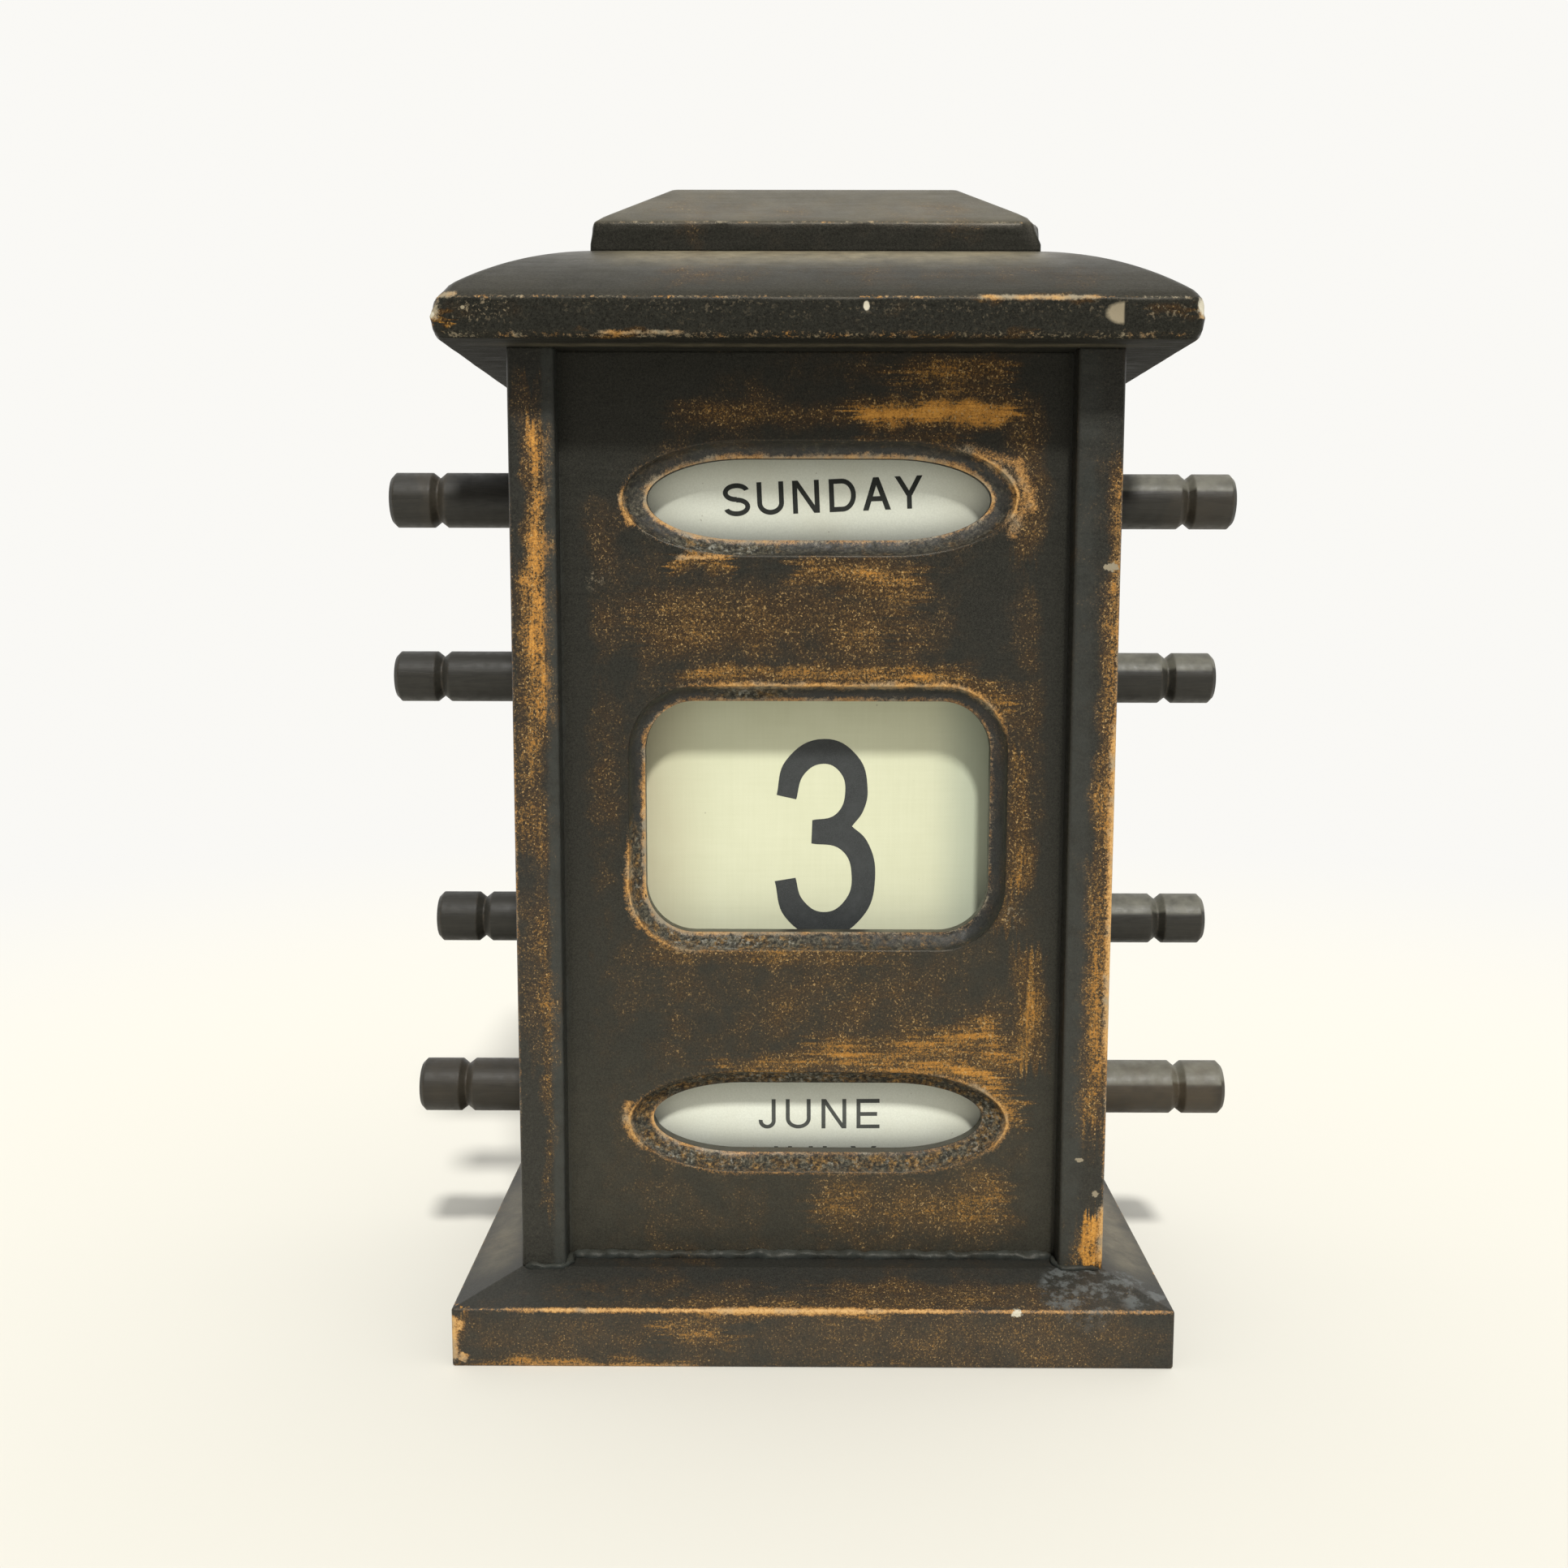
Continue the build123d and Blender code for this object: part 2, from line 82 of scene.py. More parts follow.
# ---- forms of the boards that their boxes don't give ----
BASE_EDGE_H = 13.0
CORNICE_EDGE_H = 8.2
SOFFIT_RADIUS = 1.8
DOME_RUN = 29.25
DOME_BULGE = 2.2
CROWN_EDGE_H = 6.3
CROWN_DECK_HALF_D = 6.0
CORNICE_ARRIS_Z = CORNICE_LOW.z + CORNICE_EDGE_H
CROWN_ARRIS_Z = CROWN_LOW.z + CROWN_EDGE_H

# ---- windows: centre, half size, run of their rounded corners, moulding at their sides ----
Window = namedtuple("Window", "x z half_w half_h run_x run_z side_cove")
COVE_W = 3.4
COVE_DEPTH = 3.4
WEEKDAY_WINDOW = Window(0.9, 187.16, 37.5, 8.75, 21.9, 8.75, 4.9)
DATE_WINDOW = Window(0.9, 117.43, 38.2, 25.9, 11.0, 11.0, 3.4)
MONTH_WINDOW = Window(1.3, 48.6, 37.3, 8.15, 20.4, 8.15, 4.9)


# ---------------------------------------------------------------------------
# Shader trees
# ---------------------------------------------------------------------------
class Graph:
    """A shader tree that is filled one node at a time.

    An input takes a number, a colour or another node's output.
    """

    def __init__(self, tree):
        self.tree = tree

    def feed(self, socket, value):
        if isinstance(value, bpy.types.NodeSocket):
            self.tree.links.new(value, socket)
        else:
            socket.default_value = value

    def node(self, kind, inputs=None, **settings):
        made = self.tree.nodes.new(kind)
        for name, value in settings.items():
            setattr(made, name, value)
        for key, value in (inputs or {}).items():
            self.feed(made.inputs[key], value)
        return made

    def group(self, tree, **inputs):
        """A shared effect, with its inputs named in the order word_word for 'Word word'."""
        made = self.node("ShaderNodeGroup", node_tree=tree)
        for key, value in inputs.items():
            self.feed(made.inputs[key.replace("_", " ").capitalize()], value)
        return made

    def math(self, operation, a, b=0.0, clamp=False):
        """One sum, held between 0 and 1 by a Clamp node where asked: the tick box on many nodes of
        one material uses up the shader's memory, and it turns black."""
        result = self.node("ShaderNodeMath", {0: a, 1: b}, operation=operation).outputs[0]
        return self.node("ShaderNodeClamp", {"Value": result}).outputs[0] if clamp else result

    def add(self, *values):
        total = values[0]
        for value in values[1:]:
            total = self.math("ADD", total, value)
        return total

    def times(self, a, b):
        return self.math("MULTIPLY", a, b)

    def vector(self, operation, a, b=(0, 0, 0)):
        return self.node("ShaderNodeVectorMath", {0: a, 1: b}, operation=operation).outputs["Vector"]

    def length(self, a):
        return self.node("ShaderNodeVectorMath", {0: a}, operation="LENGTH").outputs["Value"]

    def dot(self, a, b):
        return self.node("ShaderNodeVectorMath", {0: a, 1: b}, operation="DOT_PRODUCT").outputs["Value"]

    def scale(self, a, factor):
        return self.node("ShaderNodeVectorMath", {0: a, "Scale": factor}, operation="SCALE").outputs["Vector"]

    def parts(self, a):
        return self.node("ShaderNodeSeparateXYZ", {0: a}).outputs

    def noise(self, coords, scale, detail=3.0, rough=0.55, output="Fac"):
        inputs = {"Vector": coords, "Scale": scale, "Detail": detail, "Roughness": rough}
        return self.node("ShaderNodeTexNoise", inputs).outputs[output]

    def swing(self, value, amount):
        """A noise value moved to vary about zero."""
        return self.times(self.math("SUBTRACT", value, 0.5), amount)

    def remap(self, value, low, high, to_low=0.0, to_high=1.0, smooth=False):
        """A value moved from one range to another. A smooth step needs no clamp to stay in it."""
        inputs = {"Value": value, "From Min": low, "From Max": high, "To Min": to_low, "To Max": to_high}
        kind = "SMOOTHSTEP" if smooth else "LINEAR"
        made = self.node("ShaderNodeMapRange", inputs, interpolation_type=kind, clamp=not smooth)
        return made.outputs["Result"]

    def mix(self, factor, a, b, blend="MIX"):
        made = self.node("ShaderNodeMix", data_type="RGBA", blend_type=blend)
        self.feed(made.inputs["Factor"], factor)
        self.feed(made.inputs[6], a)
        self.feed(made.inputs[7], b)
        return made.outputs[2]

    def ramp(self, value, stops):
        made = self.node("ShaderNodeValToRGB", {"Fac": value})
        bands = made.color_ramp.elements
        while len(bands) < len(stops):
            bands.new(0.5)
        for band, (place, colour) in zip(bands, stops):
            band.position = place
            band.color = (*colour, 1)
        return made.outputs["Color"]

    def object_mm(self):
        """Place on the piece, in millimetres."""
        coords = self.node("ShaderNodeTexCoord").outputs["Object"]
        return self.scale(coords, 1 / MM)


def shared_effect(name, inputs, outputs):
    """An empty node group with named inputs and outputs."""
    tree = bpy.data.node_groups.new(name, "ShaderNodeTree")
    for label, (kind, value) in inputs.items():
        socket = tree.interface.new_socket(label, in_out="INPUT", socket_type=f"NodeSocket{kind}")
        socket.default_value = value
    for label, kind in outputs.items():
        tree.interface.new_socket(label, in_out="OUTPUT", socket_type=f"NodeSocket{kind}")
    graph = Graph(tree)
    entry = graph.node("NodeGroupInput").outputs
    leave = graph.node("NodeGroupOutput").inputs
    return tree, graph, entry, leave


ORIGIN = ("Vector", (0, 0, 0))


def make_rub_stroke():
    """A soft stroke from one point to another along which the paint has been rubbed thin."""
    tree, g, entry, leave = shared_effect(
        "Rub stroke",
        {
            "Coords": ORIGIN, "Start": ORIGIN, "End": ORIGIN,
            "Width": ("Float", 1.0), "Strength": ("Float", 1.0),
        },
        {"Mask": "Float"},
    )
    run = g.vector("SUBTRACT", entry["End"], entry["Start"])
    away = g.vector("SUBTRACT", entry["Coords"], entry["Start"])
    share = g.math("DIVIDE", g.dot(away, run), g.dot(run, run), clamp=True)
    reach = g.length(g.vector("SUBTRACT", away, g.scale(run, share)))
    inside = g.remap(g.math("DIVIDE", reach, entry["Width"]), 1.6, 0.1, smooth=True)
    ends = g.remap(g.times(share, g.math("SUBTRACT", 1.0, share)), 0.0, 0.14, 0.10, 1.0, smooth=True)
    g.feed(leave["Mask"], g.times(g.times(inside, ends), entry["Strength"]))
    return tree


def make_paint_chip():
    """A small flake where the paint has come off: ragged by a fine noise, and cut off straight at
    its right side where Cut is below 1."""
    tree, g, entry, leave = shared_effect(
        "Paint chip",
        {
            "Coords": ORIGIN, "Centre": ORIGIN, "Half size": ("Vector", (1, 1, 1)),
            "Ragged": ("Float", 1.0), "Cut": ("Float", 2.0),
        },
        {"Mask": "Float"},
    )
    away = g.vector("SUBTRACT", entry["Coords"], entry["Centre"])
    share = g.vector("DIVIDE", away, entry["Half size"])
    uneven = g.times(g.math("SUBTRACT", g.noise(entry["Coords"], 1.7, 3.0, 0.6), 0.5), entry["Ragged"])
    reach = g.add(g.length(share), uneven)
    kept = g.remap(g.math("SUBTRACT", g.parts(share)["X"], entry["Cut"]), 0.05, -0.05)
    g.feed(leave["Mask"], g.times(g.remap(reach, 1.1, 0.8), kept))
    return tree


def make_window_line():
    """Distance in the panel's plane from an outline with elliptical corners, negative inside it."""
    tree, g, entry, leave = shared_effect(
        "Window line",
        {"Coords": ORIGIN, "Centre": ORIGIN, "Flat": ORIGIN, "Radii": ("Vector", (1, 1, 1))},
        {"Distance": "Float"},
    )
    away = g.vector("ABSOLUTE", g.vector("SUBTRACT", entry["Coords"], entry["Centre"]))
    past = g.vector("MAXIMUM", g.vector("SUBTRACT", away, entry["Flat"]), (0, 0, 0))
    past = g.vector("MULTIPLY", past, (1, 0, 1))
    share = g.vector("DIVIDE", past, entry["Radii"])
    reach = g.length(share)
    slope = g.length(g.vector("DIVIDE", share, entry["Radii"]))
    distance = g.math("DIVIDE", g.times(g.math("SUBTRACT", reach, 1.0), reach), slope)
    g.feed(leave["Distance"], distance)
    return tree


def make_rim_line():
    """Distance from the arris round a board; Rim holds its half width, half depth and height."""
    tree, g, entry, leave = shared_effect(
        "Rim line", {"Coords": ORIGIN, "Rim": ("Vector", (1, 1, 1))}, {"Distance": "Float"}
    )
    past = g.parts(g.vector("SUBTRACT", g.vector("ABSOLUTE", entry["Coords"]), entry["Rim"]))
    plan = g.math("MAXIMUM", past["X"], past["Y"])
    distance = g.math("SQRT", g.add(g.times(plan, plan), g.times(past["Z"], past["Z"])))
    g.feed(leave["Distance"], distance)
    return tree


def make_rubbed_paint():
    """Near-black paint that thins through reddish brown and golden specks to orange-stained wood."""
    tree, g, entry, leave = shared_effect(
        "Rubbed paint",
        {
            "Coords": ORIGIN, "Rub": ("Float", 0.0), "Upright": ("Float", 0.0), "Line": ("Float", 0.0),
            "Mottle": ("Float", 1.0), "Speckle": ("Float", 1.0), "Pale": ("Float", 0.15),
        },
        {"Color": "Color", "Roughness": "Float", "Height": "Float"},
    )
    coords = entry["Coords"]
    pores = g.noise(coords, 1.7, 4.0, 0.72)
    grit = g.noise(coords, 4.6, 2.0, 0.5)
    level = g.noise(g.vector("MULTIPLY", coords, (0.07, 0.4, 1.0)), 1.0, 4.0, 0.65)
    plumb = g.noise(g.vector("MULTIPLY", coords, (1.0, 0.4, 0.07)), 1.0, 4.0, 0.65)
    streak = g.node("ShaderNodeMix", {0: entry["Upright"], 2: level, 3: plumb}).outputs[0]
    cloud = g.noise(coords, 0.045, 2.0, 0.5)
    blotch = g.noise(coords, 0.17, 4.0, 0.65)
    mottle = g.times(g.add(g.swing(cloud, 0.6), g.swing(blotch, 0.7)), entry["Mottle"])
    rub = g.add(entry["Rub"], mottle)
    fine = g.times(g.add(g.swing(pores, 2.1), g.swing(grit, 1.0)), entry["Speckle"])
    worked = g.times(g.swing(streak, 1.8), g.remap(entry["Rub"], 0.1, 0.7, 0.2, 1.0))
    depth = g.add(rub, fine, worked)
    specks = g.remap(depth, 0.36, 0.86, smooth=True)
    bare = g.ramp(g.add(g.times(rub, 0.85), g.times(fine, 0.50), g.times(worked, 0.5)), [
        (0.12, (0.080, 0.046, 0.015)), (0.38, (0.150, 0.090, 0.025)), (0.58, (0.235, 0.116, 0.023)),
        (0.78, (0.390, 0.170, 0.024)), (1.00, (0.610, 0.290, 0.050)),
    ])
    brown = g.remap(rub, -0.05, 0.5, smooth=True)
    grain = g.remap(g.add(pores, g.swing(grit, 0.8)), 0.25, 0.75)
    black = g.mix(grain, (0.0045, 0.0046, 0.0042, 1), (0.0270, 0.0270, 0.0215, 1))
    umber = g.mix(grain, (0.0100, 0.0060, 0.0025, 1), (0.0740, 0.0370, 0.0125, 1))
    colour = g.mix(g.times(specks, 0.95), g.mix(brown, black, umber), bare)
    sparks = g.remap(g.noise(coords, 2.2, 2.0, 0.5), 0.615, 0.70)
    sparks = g.times(sparks, g.remap(rub, 0.06, 0.34, 0.0, 0.85))
    colour = g.mix(g.times(sparks, entry["Speckle"]), colour, (0.42, 0.27, 0.105, 1))
    line = g.remap(g.add(entry["Line"], g.times(fine, 0.6)), 0.30, 0.85, smooth=True)
    bright = g.ramp(g.add(entry["Line"], g.times(fine, 0.6)), [
        (0.25, (0.15, 0.075, 0.024)), (0.70, (0.38, 0.190, 0.050)), (1.0, (0.58, 0.340, 0.120)),
    ])
    greyed = g.remap(g.add(g.noise(coords, 0.22, 3.0), entry["Pale"]), 0.60, 0.85)
    bright = g.mix(greyed, bright, (0.28, 0.235, 0.160, 1))
    g.feed(leave["Color"], g.mix(line, colour, bright))
    worn = g.math("MAXIMUM", specks, line)
    brushed = g.swing(g.add(level, g.swing(blotch, 0.8)), 0.30)
    g.feed(leave["Roughness"], g.add(g.remap(worn, 0.0, 1.0, 0.38, 0.66), brushed))
    g.feed(leave["Height"], g.add(g.swing(pores, 1.0), g.swing(grit, 0.5), g.swing(blotch, 0.5)))
    return tree


def make_crumbs():
    """Crumbled filler: grey and brown grains with dark gaps between, and stray white ones."""
    tree, g, entry, leave = shared_effect(
        "Crumbs",
        {"Coords": ORIGIN, "Warmth": ("Float", 0.3), "Whiteness": ("Float", 0.3)},
        {"Color": "Color", "Height": "Float"},
    )
    grains = g.noise(entry["Coords"], 1.15, 4.0, 0.72)
    drift = g.noise(entry["Coords"], 0.35, 3.0, 0.6)
    grey = g.ramp(g.add(0.5, g.swing(grains, 2.2)), [
        (0.25, (0.012, 0.011, 0.008)), (0.50, (0.044, 0.040, 0.026)), (0.85, (0.155, 0.135, 0.092)),
    ])
    warm = g.ramp(g.add(0.5, g.swing(grains, 2.2)), [
        (0.25, (0.015, 0.010, 0.005)), (0.50, (0.080, 0.048, 0.016)), (0.85, (0.330, 0.185, 0.052)),
    ])
    share = g.remap(g.add(entry["Warmth"], g.swing(drift, 1.6)), 0.35, 0.65, smooth=True)
    colour = g.mix(share, grey, warm)
    flecks = g.add(g.noise(entry["Coords"], 0.9, 4.0, 0.65), g.times(entry["Whiteness"], 0.16))
    white = g.remap(flecks, 0.66, 0.80)
    g.feed(leave["Color"], g.mix(g.times(white, 0.7), colour, (0.34, 0.33, 0.275, 1)))
    g.feed(leave["Height"], g.swing(grains, 2.0))
    return tree


def make_wood_grain():
    """Straight grain along one axis: colour between two tones, and its relief."""
    tree, g, entry, leave = shared_effect(
        "Wood grain",
        {
            "Coords": ORIGIN, "Stretch": ("Vector", (0.05, 1.0, 1.0)),
            "Light wood": ("Color", (0.5, 0.33, 0.18, 1)), "Dark wood": ("Color", (0.3, 0.17, 0.08, 1)),
        },
        {"Color": "Color", "Height": "Float"},
    )
    along = g.vector("MULTIPLY", entry["Coords"], entry["Stretch"])
    rings = g.noise(along, 0.35, 2.0, 0.5)
    bands = g.math("FRACT", g.times(rings, 9.0))
    bands = g.remap(bands, 0.0, 1.0, 0.15, 0.85, smooth=True)
    fibres = g.noise(along, 3.2, 5.0, 0.7)
    tone = g.math("ADD", g.times(bands, 0.45), g.times(fibres, 0.6), clamp=True)
    g.feed(leave["Color"], g.mix(tone, entry["Light wood"], entry["Dark wood"]))
    g.feed(leave["Height"], g.math("SUBTRACT", 1.0, tone))
    return tree


def make_dust():
    """Grey dust that settles on faces that look up, thinner where it has been brushed off."""
    tree, g, entry, leave = shared_effect(
        "Dust",
        {"Coords": ORIGIN, "Facing": ("Vector", (0, 0, 1)), "Amount": ("Float", 0.2)},
        {"Mask": "Float"},
    )
    up = g.remap(g.parts(entry["Facing"])["Z"], 0.2, 1.0)
    lying = g.remap(g.noise(entry["Coords"], 0.12, 5.0, 0.65), 0.35, 0.7, 0.6, 1.0)
    g.feed(leave["Mask"], g.times(g.times(up, lying), entry["Amount"]))
    return tree


def make_edge_wear():
    """Where the surface turns within a small radius, and the normal eased over that radius."""
    tree, g, entry, leave = shared_effect(
        "Edge wear",
        {"Radius": ("Float", 0.7 * MM), "Sharp": ("Float", 0.12)},
        {"Mask": "Float", "Eased": "Vector"},
    )
    eased = g.node("ShaderNodeBevel", {"Radius": entry["Radius"]}, samples=6).outputs["Normal"]
    true = g.node("ShaderNodeNewGeometry").outputs["Normal"]
    g.feed(leave["Mask"], g.remap(g.dot(eased, true), 1.0, g.math("SUBTRACT", 1.0, entry["Sharp"])))
    g.feed(leave["Eased"], eased)
    return tree


RUB_STROKE = make_rub_stroke()
PAINT_CHIP = make_paint_chip()
WINDOW_LINE = make_window_line()
RIM_LINE = make_rim_line()
RUBBED_PAINT = make_rubbed_paint()
CRUMBS = make_crumbs()
WOOD_GRAIN = make_wood_grain()
DUST = make_dust()
EDGE_WEAR = make_edge_wear()


def wander(g, coords, scale, amount):
    """Coordinates pushed about, so that outlines drawn with them stray."""
    stray = g.vector("SUBTRACT", g.noise(coords, scale, 3.0, 0.6, output="Color"), (0.5, 0.5, 0.5))
    return g.vector("ADD", coords, g.scale(stray, amount))


LEVEL, PLUMB = (1, 0, 0), (0, 0, 1)


def rub_map(name, strokes, stray=8.0, stray_scale=0.11, fray=None):
    """One mask from listed strokes: (start, end, width, strength). Their outlines wander, and
    their ends fray along a direction."""
    tree, g, _, leave = shared_effect(name, {}, {"Mask": "Float"})
    place = g.object_mm()
    coords = wander(g, place, stray_scale, stray)
    if fray:
        across = tuple(0.05 if along else 0.85 for along in fray)
        pull = g.swing(g.noise(g.vector("MULTIPLY", place, across), 1.0, 3.0, 0.6), 24.0)
        coords = g.vector("ADD", coords, g.scale(fray, pull))
    mask = 0.0
    for start, end, width, strength in strokes:
        stroke = g.group(RUB_STROKE, coords=coords, start=start, end=end, width=width, strength=strength)
        mask = g.math("MAXIMUM", mask, stroke.outputs["Mask"])
    g.feed(leave["Mask"], mask)
    return tree


def on_face(y, rows):
    """Strokes on an upright face: rows of x, z to x, z, width, strength."""
    return [((x0, y, z0), (x1, y, z1), width, strength) for x0, z0, x1, z1, width, strength in rows]


def new_material(name):
    """A material with its shader tree and its main shader."""
    material = bpy.data.materials.new(name)
    material.use_nodes = True
    graph = Graph(material.node_tree)
    shader = material.node_tree.nodes["Principled BSDF"]
    return material, graph, shader


def worn_edges(g, radius, sharp=0.12):
    """The mask of worn edges and the eased normal, for a radius in millimetres."""
    edges = g.group(EDGE_WEAR, radius=radius * MM, sharp=sharp).outputs
    return edges["Mask"], edges["Eased"]


def true_normal(g):
    """The way the surface faces."""
    return g.node("ShaderNodeNewGeometry").outputs["Normal"]


def add_relief(g, shader, height, strength, depth, eased=None):
    """Fine relief over a surface, its depth in millimetres, on top of eased edges where given."""
    bump = g.node("ShaderNodeBump", {"Strength": strength, "Distance": depth * MM, "Height": height})
    if eased:
        g.feed(bump.inputs["Normal"], eased)
    g.feed(shader.inputs["Normal"], bump.outputs["Normal"])


Coat = namedtuple("Coat", "material g shader coords colour roughness height eased")
PRIMER = (0.26, 0.22, 0.15, 1)
WHITE_PRIMER = (0.56, 0.52, 0.41, 1)
SPECK_TONE = (0.25, 0.20, 0.13, 1)
# cool grey of the painted sheen on joints, stile edges and filler
COOL_GREY = (0.032, 0.036, 0.033, 1)
DUST_AND_SHEEN_TONE = (0.305, 0.262, 0.170, 1)
Chip = namedtuple("Chip", "centre half ragged cut tone", defaults=(1.0, 2.0, PRIMER))


def mask_of(g, name, strokes, **how):
    """The mask of a stroke list, or nothing where there is none."""
    return g.group(rub_map(name, strokes, **how)).outputs["Mask"] if strokes else 0.0


def worn_rim(g, coords, strayed, rim, width, strength):
    """Wear along the arris all round a board, broken into runs and dots."""
    distance = g.group(RIM_LINE, coords=strayed, rim=rim).outputs["Distance"]
    broken = g.remap(g.noise(coords, 0.30, 5.0, 0.8), 0.34, 0.62, 0.30, 1.0)
    dotted = g.remap(g.noise(coords, 1.1, 2.0, 0.6), 0.42, 0.58, 0.45, 1.0)
    worn = g.times(g.times(broken, dotted), g.remap(distance, width, 0.15 * width))
    return g.times(worn, strength)


def chipped(g, coords, chips, colour, roughness):
    """Colour and roughness with flakes down to the primer."""
    for chip in chips:
        bare = g.group(
            PAINT_CHIP, coords=coords, centre=chip.centre, half_size=chip.half,
            ragged=chip.ragged, cut=chip.cut,
        ).outputs["Mask"]
        colour = g.mix(bare, colour, chip.tone)
        roughness = g.math("MAXIMUM", roughness, g.times(bare, 0.75))
    return colour, roughness


def case_paint(
    name, strokes, upright=(), lines=(), rims=(), chips=(), flecks=(), ground=0.08, mottle=1.0,
    speckle=1.0, edge_wear=0.35, dust=0.04, dust_and_sheen=(), painted_sheen=None, pale=0.12, shine=0.5,
    tint=(1.0, 0.95, 0.85, 1), whole=None, extra=None,
):
    """Paint for one board of the case.

    strokes and upright are rubs with their streaks level or plumb, lines are thin worn arrises,
    rims are arrises all round a board, chips are flakes down to the primer, flecks are places with
    many tiny chips, haze is where dust has settled along a joint and where its pale tone is painted
    in as sheen and bounced light, film is where a cool grey sheen is painted in, whole is how much
    thicker the paint still is in places, and extra adds more wear.
    """
    material, g, shader = new_material(name)
    coords = g.object_mm()
    level = mask_of(g, f"{name} level rubs", strokes, fray=LEVEL)
    plumb = mask_of(g, f"{name} plumb rubs", upright, fray=PLUMB)
    rub = g.add(g.math("MAXIMUM", level, plumb), ground)
    if whole:
        rub = g.math("SUBTRACT", rub, whole(g, coords))
    edge, eased = worn_edges(g, 0.7)
    facing = true_normal(g)
    patchy = g.remap(g.noise(coords, 0.16, 4.0, 0.65), 0.42, 0.66)
    line = g.times(g.times(edge, patchy), edge_wear)
    line = g.math("MAXIMUM", line, mask_of(g, f"{name} lines", lines, stray=1.1, stray_scale=0.6))
    strayed = wander(g, coords, 0.7, 0.8)
    for rim, width, strength in rims:
        line = g.math("MAXIMUM", line, worn_rim(g, coords, strayed, rim, width, strength))
    if extra:
        line = extra(g, coords, line)
    paint = g.group(
        RUBBED_PAINT, coords=coords, rub=rub, upright=g.remap(plumb, 0.1, 0.4), line=line,
        mottle=mottle, speckle=speckle, pale=pale,
    )
    colour = paint.outputs["Color"]
    # painted cool grey sheen, in patches
    if painted_sheen:
        patches = g.remap(g.noise(coords, 0.25, 5.0, 0.65), 0.35, 0.6, 0.35, 1.0)
        colour = g.mix(g.times(painted_sheen(g, coords, facing), patches), colour, COOL_GREY)
    lying = g.group(DUST, coords=coords, facing=facing, amount=dust).outputs["Mask"]
    # pale dust tone from the haze strokes: dust in some places, painted sheen and bounced light in others
    thin_dust_and_sheen = g.remap(g.noise(coords, 0.18, 5.0, 0.7), 0.34, 0.66, 0.18, 0.42)
    dust_and_sheen_mask = g.times(mask_of(g, f"{name} haze", dust_and_sheen, stray=4.0), thin_dust_and_sheen)
    colour = g.mix(g.add(lying, dust_and_sheen_mask), colour, DUST_AND_SHEEN_TONE)
    if flecks:
        tiny = g.remap(g.noise(coords, 1.5, 3.0, 0.6), 0.56, 0.66)
        tiny = g.times(tiny, mask_of(g, f"{name} flecks", flecks))
        colour = g.mix(tiny, colour, SPECK_TONE)
    colour, roughness = chipped(g, coords, chips, colour, paint.outputs["Roughness"])
    below = g.remap(g.parts(facing)["Z"], -0.5, -0.9)
    brushed = g.noise(g.vector("MULTIPLY", coords, (0.12, 0.9, 1.0)), 1.0, 4.0, 0.65)
    roughness = g.math("MAXIMUM", roughness, g.times(below, g.remap(brushed, 0.3, 0.7, 0.62, 0.95)))
    shader.inputs["Specular IOR Level"].default_value = shine
    shader.inputs["Specular Tint"].default_value = tint
    return Coat(material, g, shader, coords, colour, roughness, paint.outputs["Height"], eased)


def finish_paint(coat):
    """Feeds a coat of paint to its shader."""
    g, shader = coat.g, coat.shader
    g.feed(shader.inputs["Base Color"], coat.colour)
    g.feed(shader.inputs["Roughness"], coat.roughness)
    shader.inputs["IOR"].default_value = 1.5
    add_relief(g, shader, coat.height, 0.45, 0.08, coat.eased)
    return coat.material


# ---------------------------------------------------------------------------
# Paint on each board
# ---------------------------------------------------------------------------
def window_lines(g, coords, window):
    """Distances from the outer arris of a window's moulding and from its opening."""
    centre = (window.x, PANEL_Y, window.z)
    flat = (window.half_w - window.run_x, 0, window.half_h - window.run_z)
    mouth = (window.run_x, 1, window.run_z)
    brim = (window.run_x + window.side_cove, 1, window.run_z + COVE_W)
    outer = g.group(WINDOW_LINE, coords=coords, centre=centre, flat=flat, radii=brim).outputs["Distance"]
    inner = g.group(WINDOW_LINE, coords=coords, centre=centre, flat=flat, radii=mouth).outputs["Distance"]
    return outer, inner


# Wear round each window, as stops of (share of a turn, amount). The turn starts at the left end
# and runs below the window: 0.25 is the middle of the bottom, 0.5 the right end, 0.75 the top.
Wear = namedtuple("Wear", "brim lip crumbled whitened")
WEEKDAY_WEAR = Wear(
    brim=[
        (0.0, 1.0), (0.05, 0.9), (0.10, 0.5), (0.20, 0.3), (0.40, 0.4), (0.45, 1.0), (0.62, 1.0),
        (0.68, 0.4), (0.80, 0.25), (0.95, 0.5), (1.0, 1.0),
    ],
    lip=[
        (0.0, 1.0), (0.17, 1.0), (0.24, 0.7), (0.42, 0.7), (0.50, 0.9), (0.75, 1.0), (0.88, 0.8), (1.0, 1.0),
    ],
    crumbled=[
        (0.0, 0.3), (0.04, 0.45), (0.12, 0.3), (0.155, 0.7), (0.20, 0.7), (0.23, 0.3), (0.36, 0.35),
        (0.44, 0.3), (0.70, 0.22), (1.0, 0.3),
    ],
    whitened=[
        (0.0, 0.2), (0.12, 0.1), (0.17, 0.9), (0.20, 0.8), (0.24, 0.0), (0.70, 0.0), (0.74, 0.9), (0.78, 0.0),
    ],
)
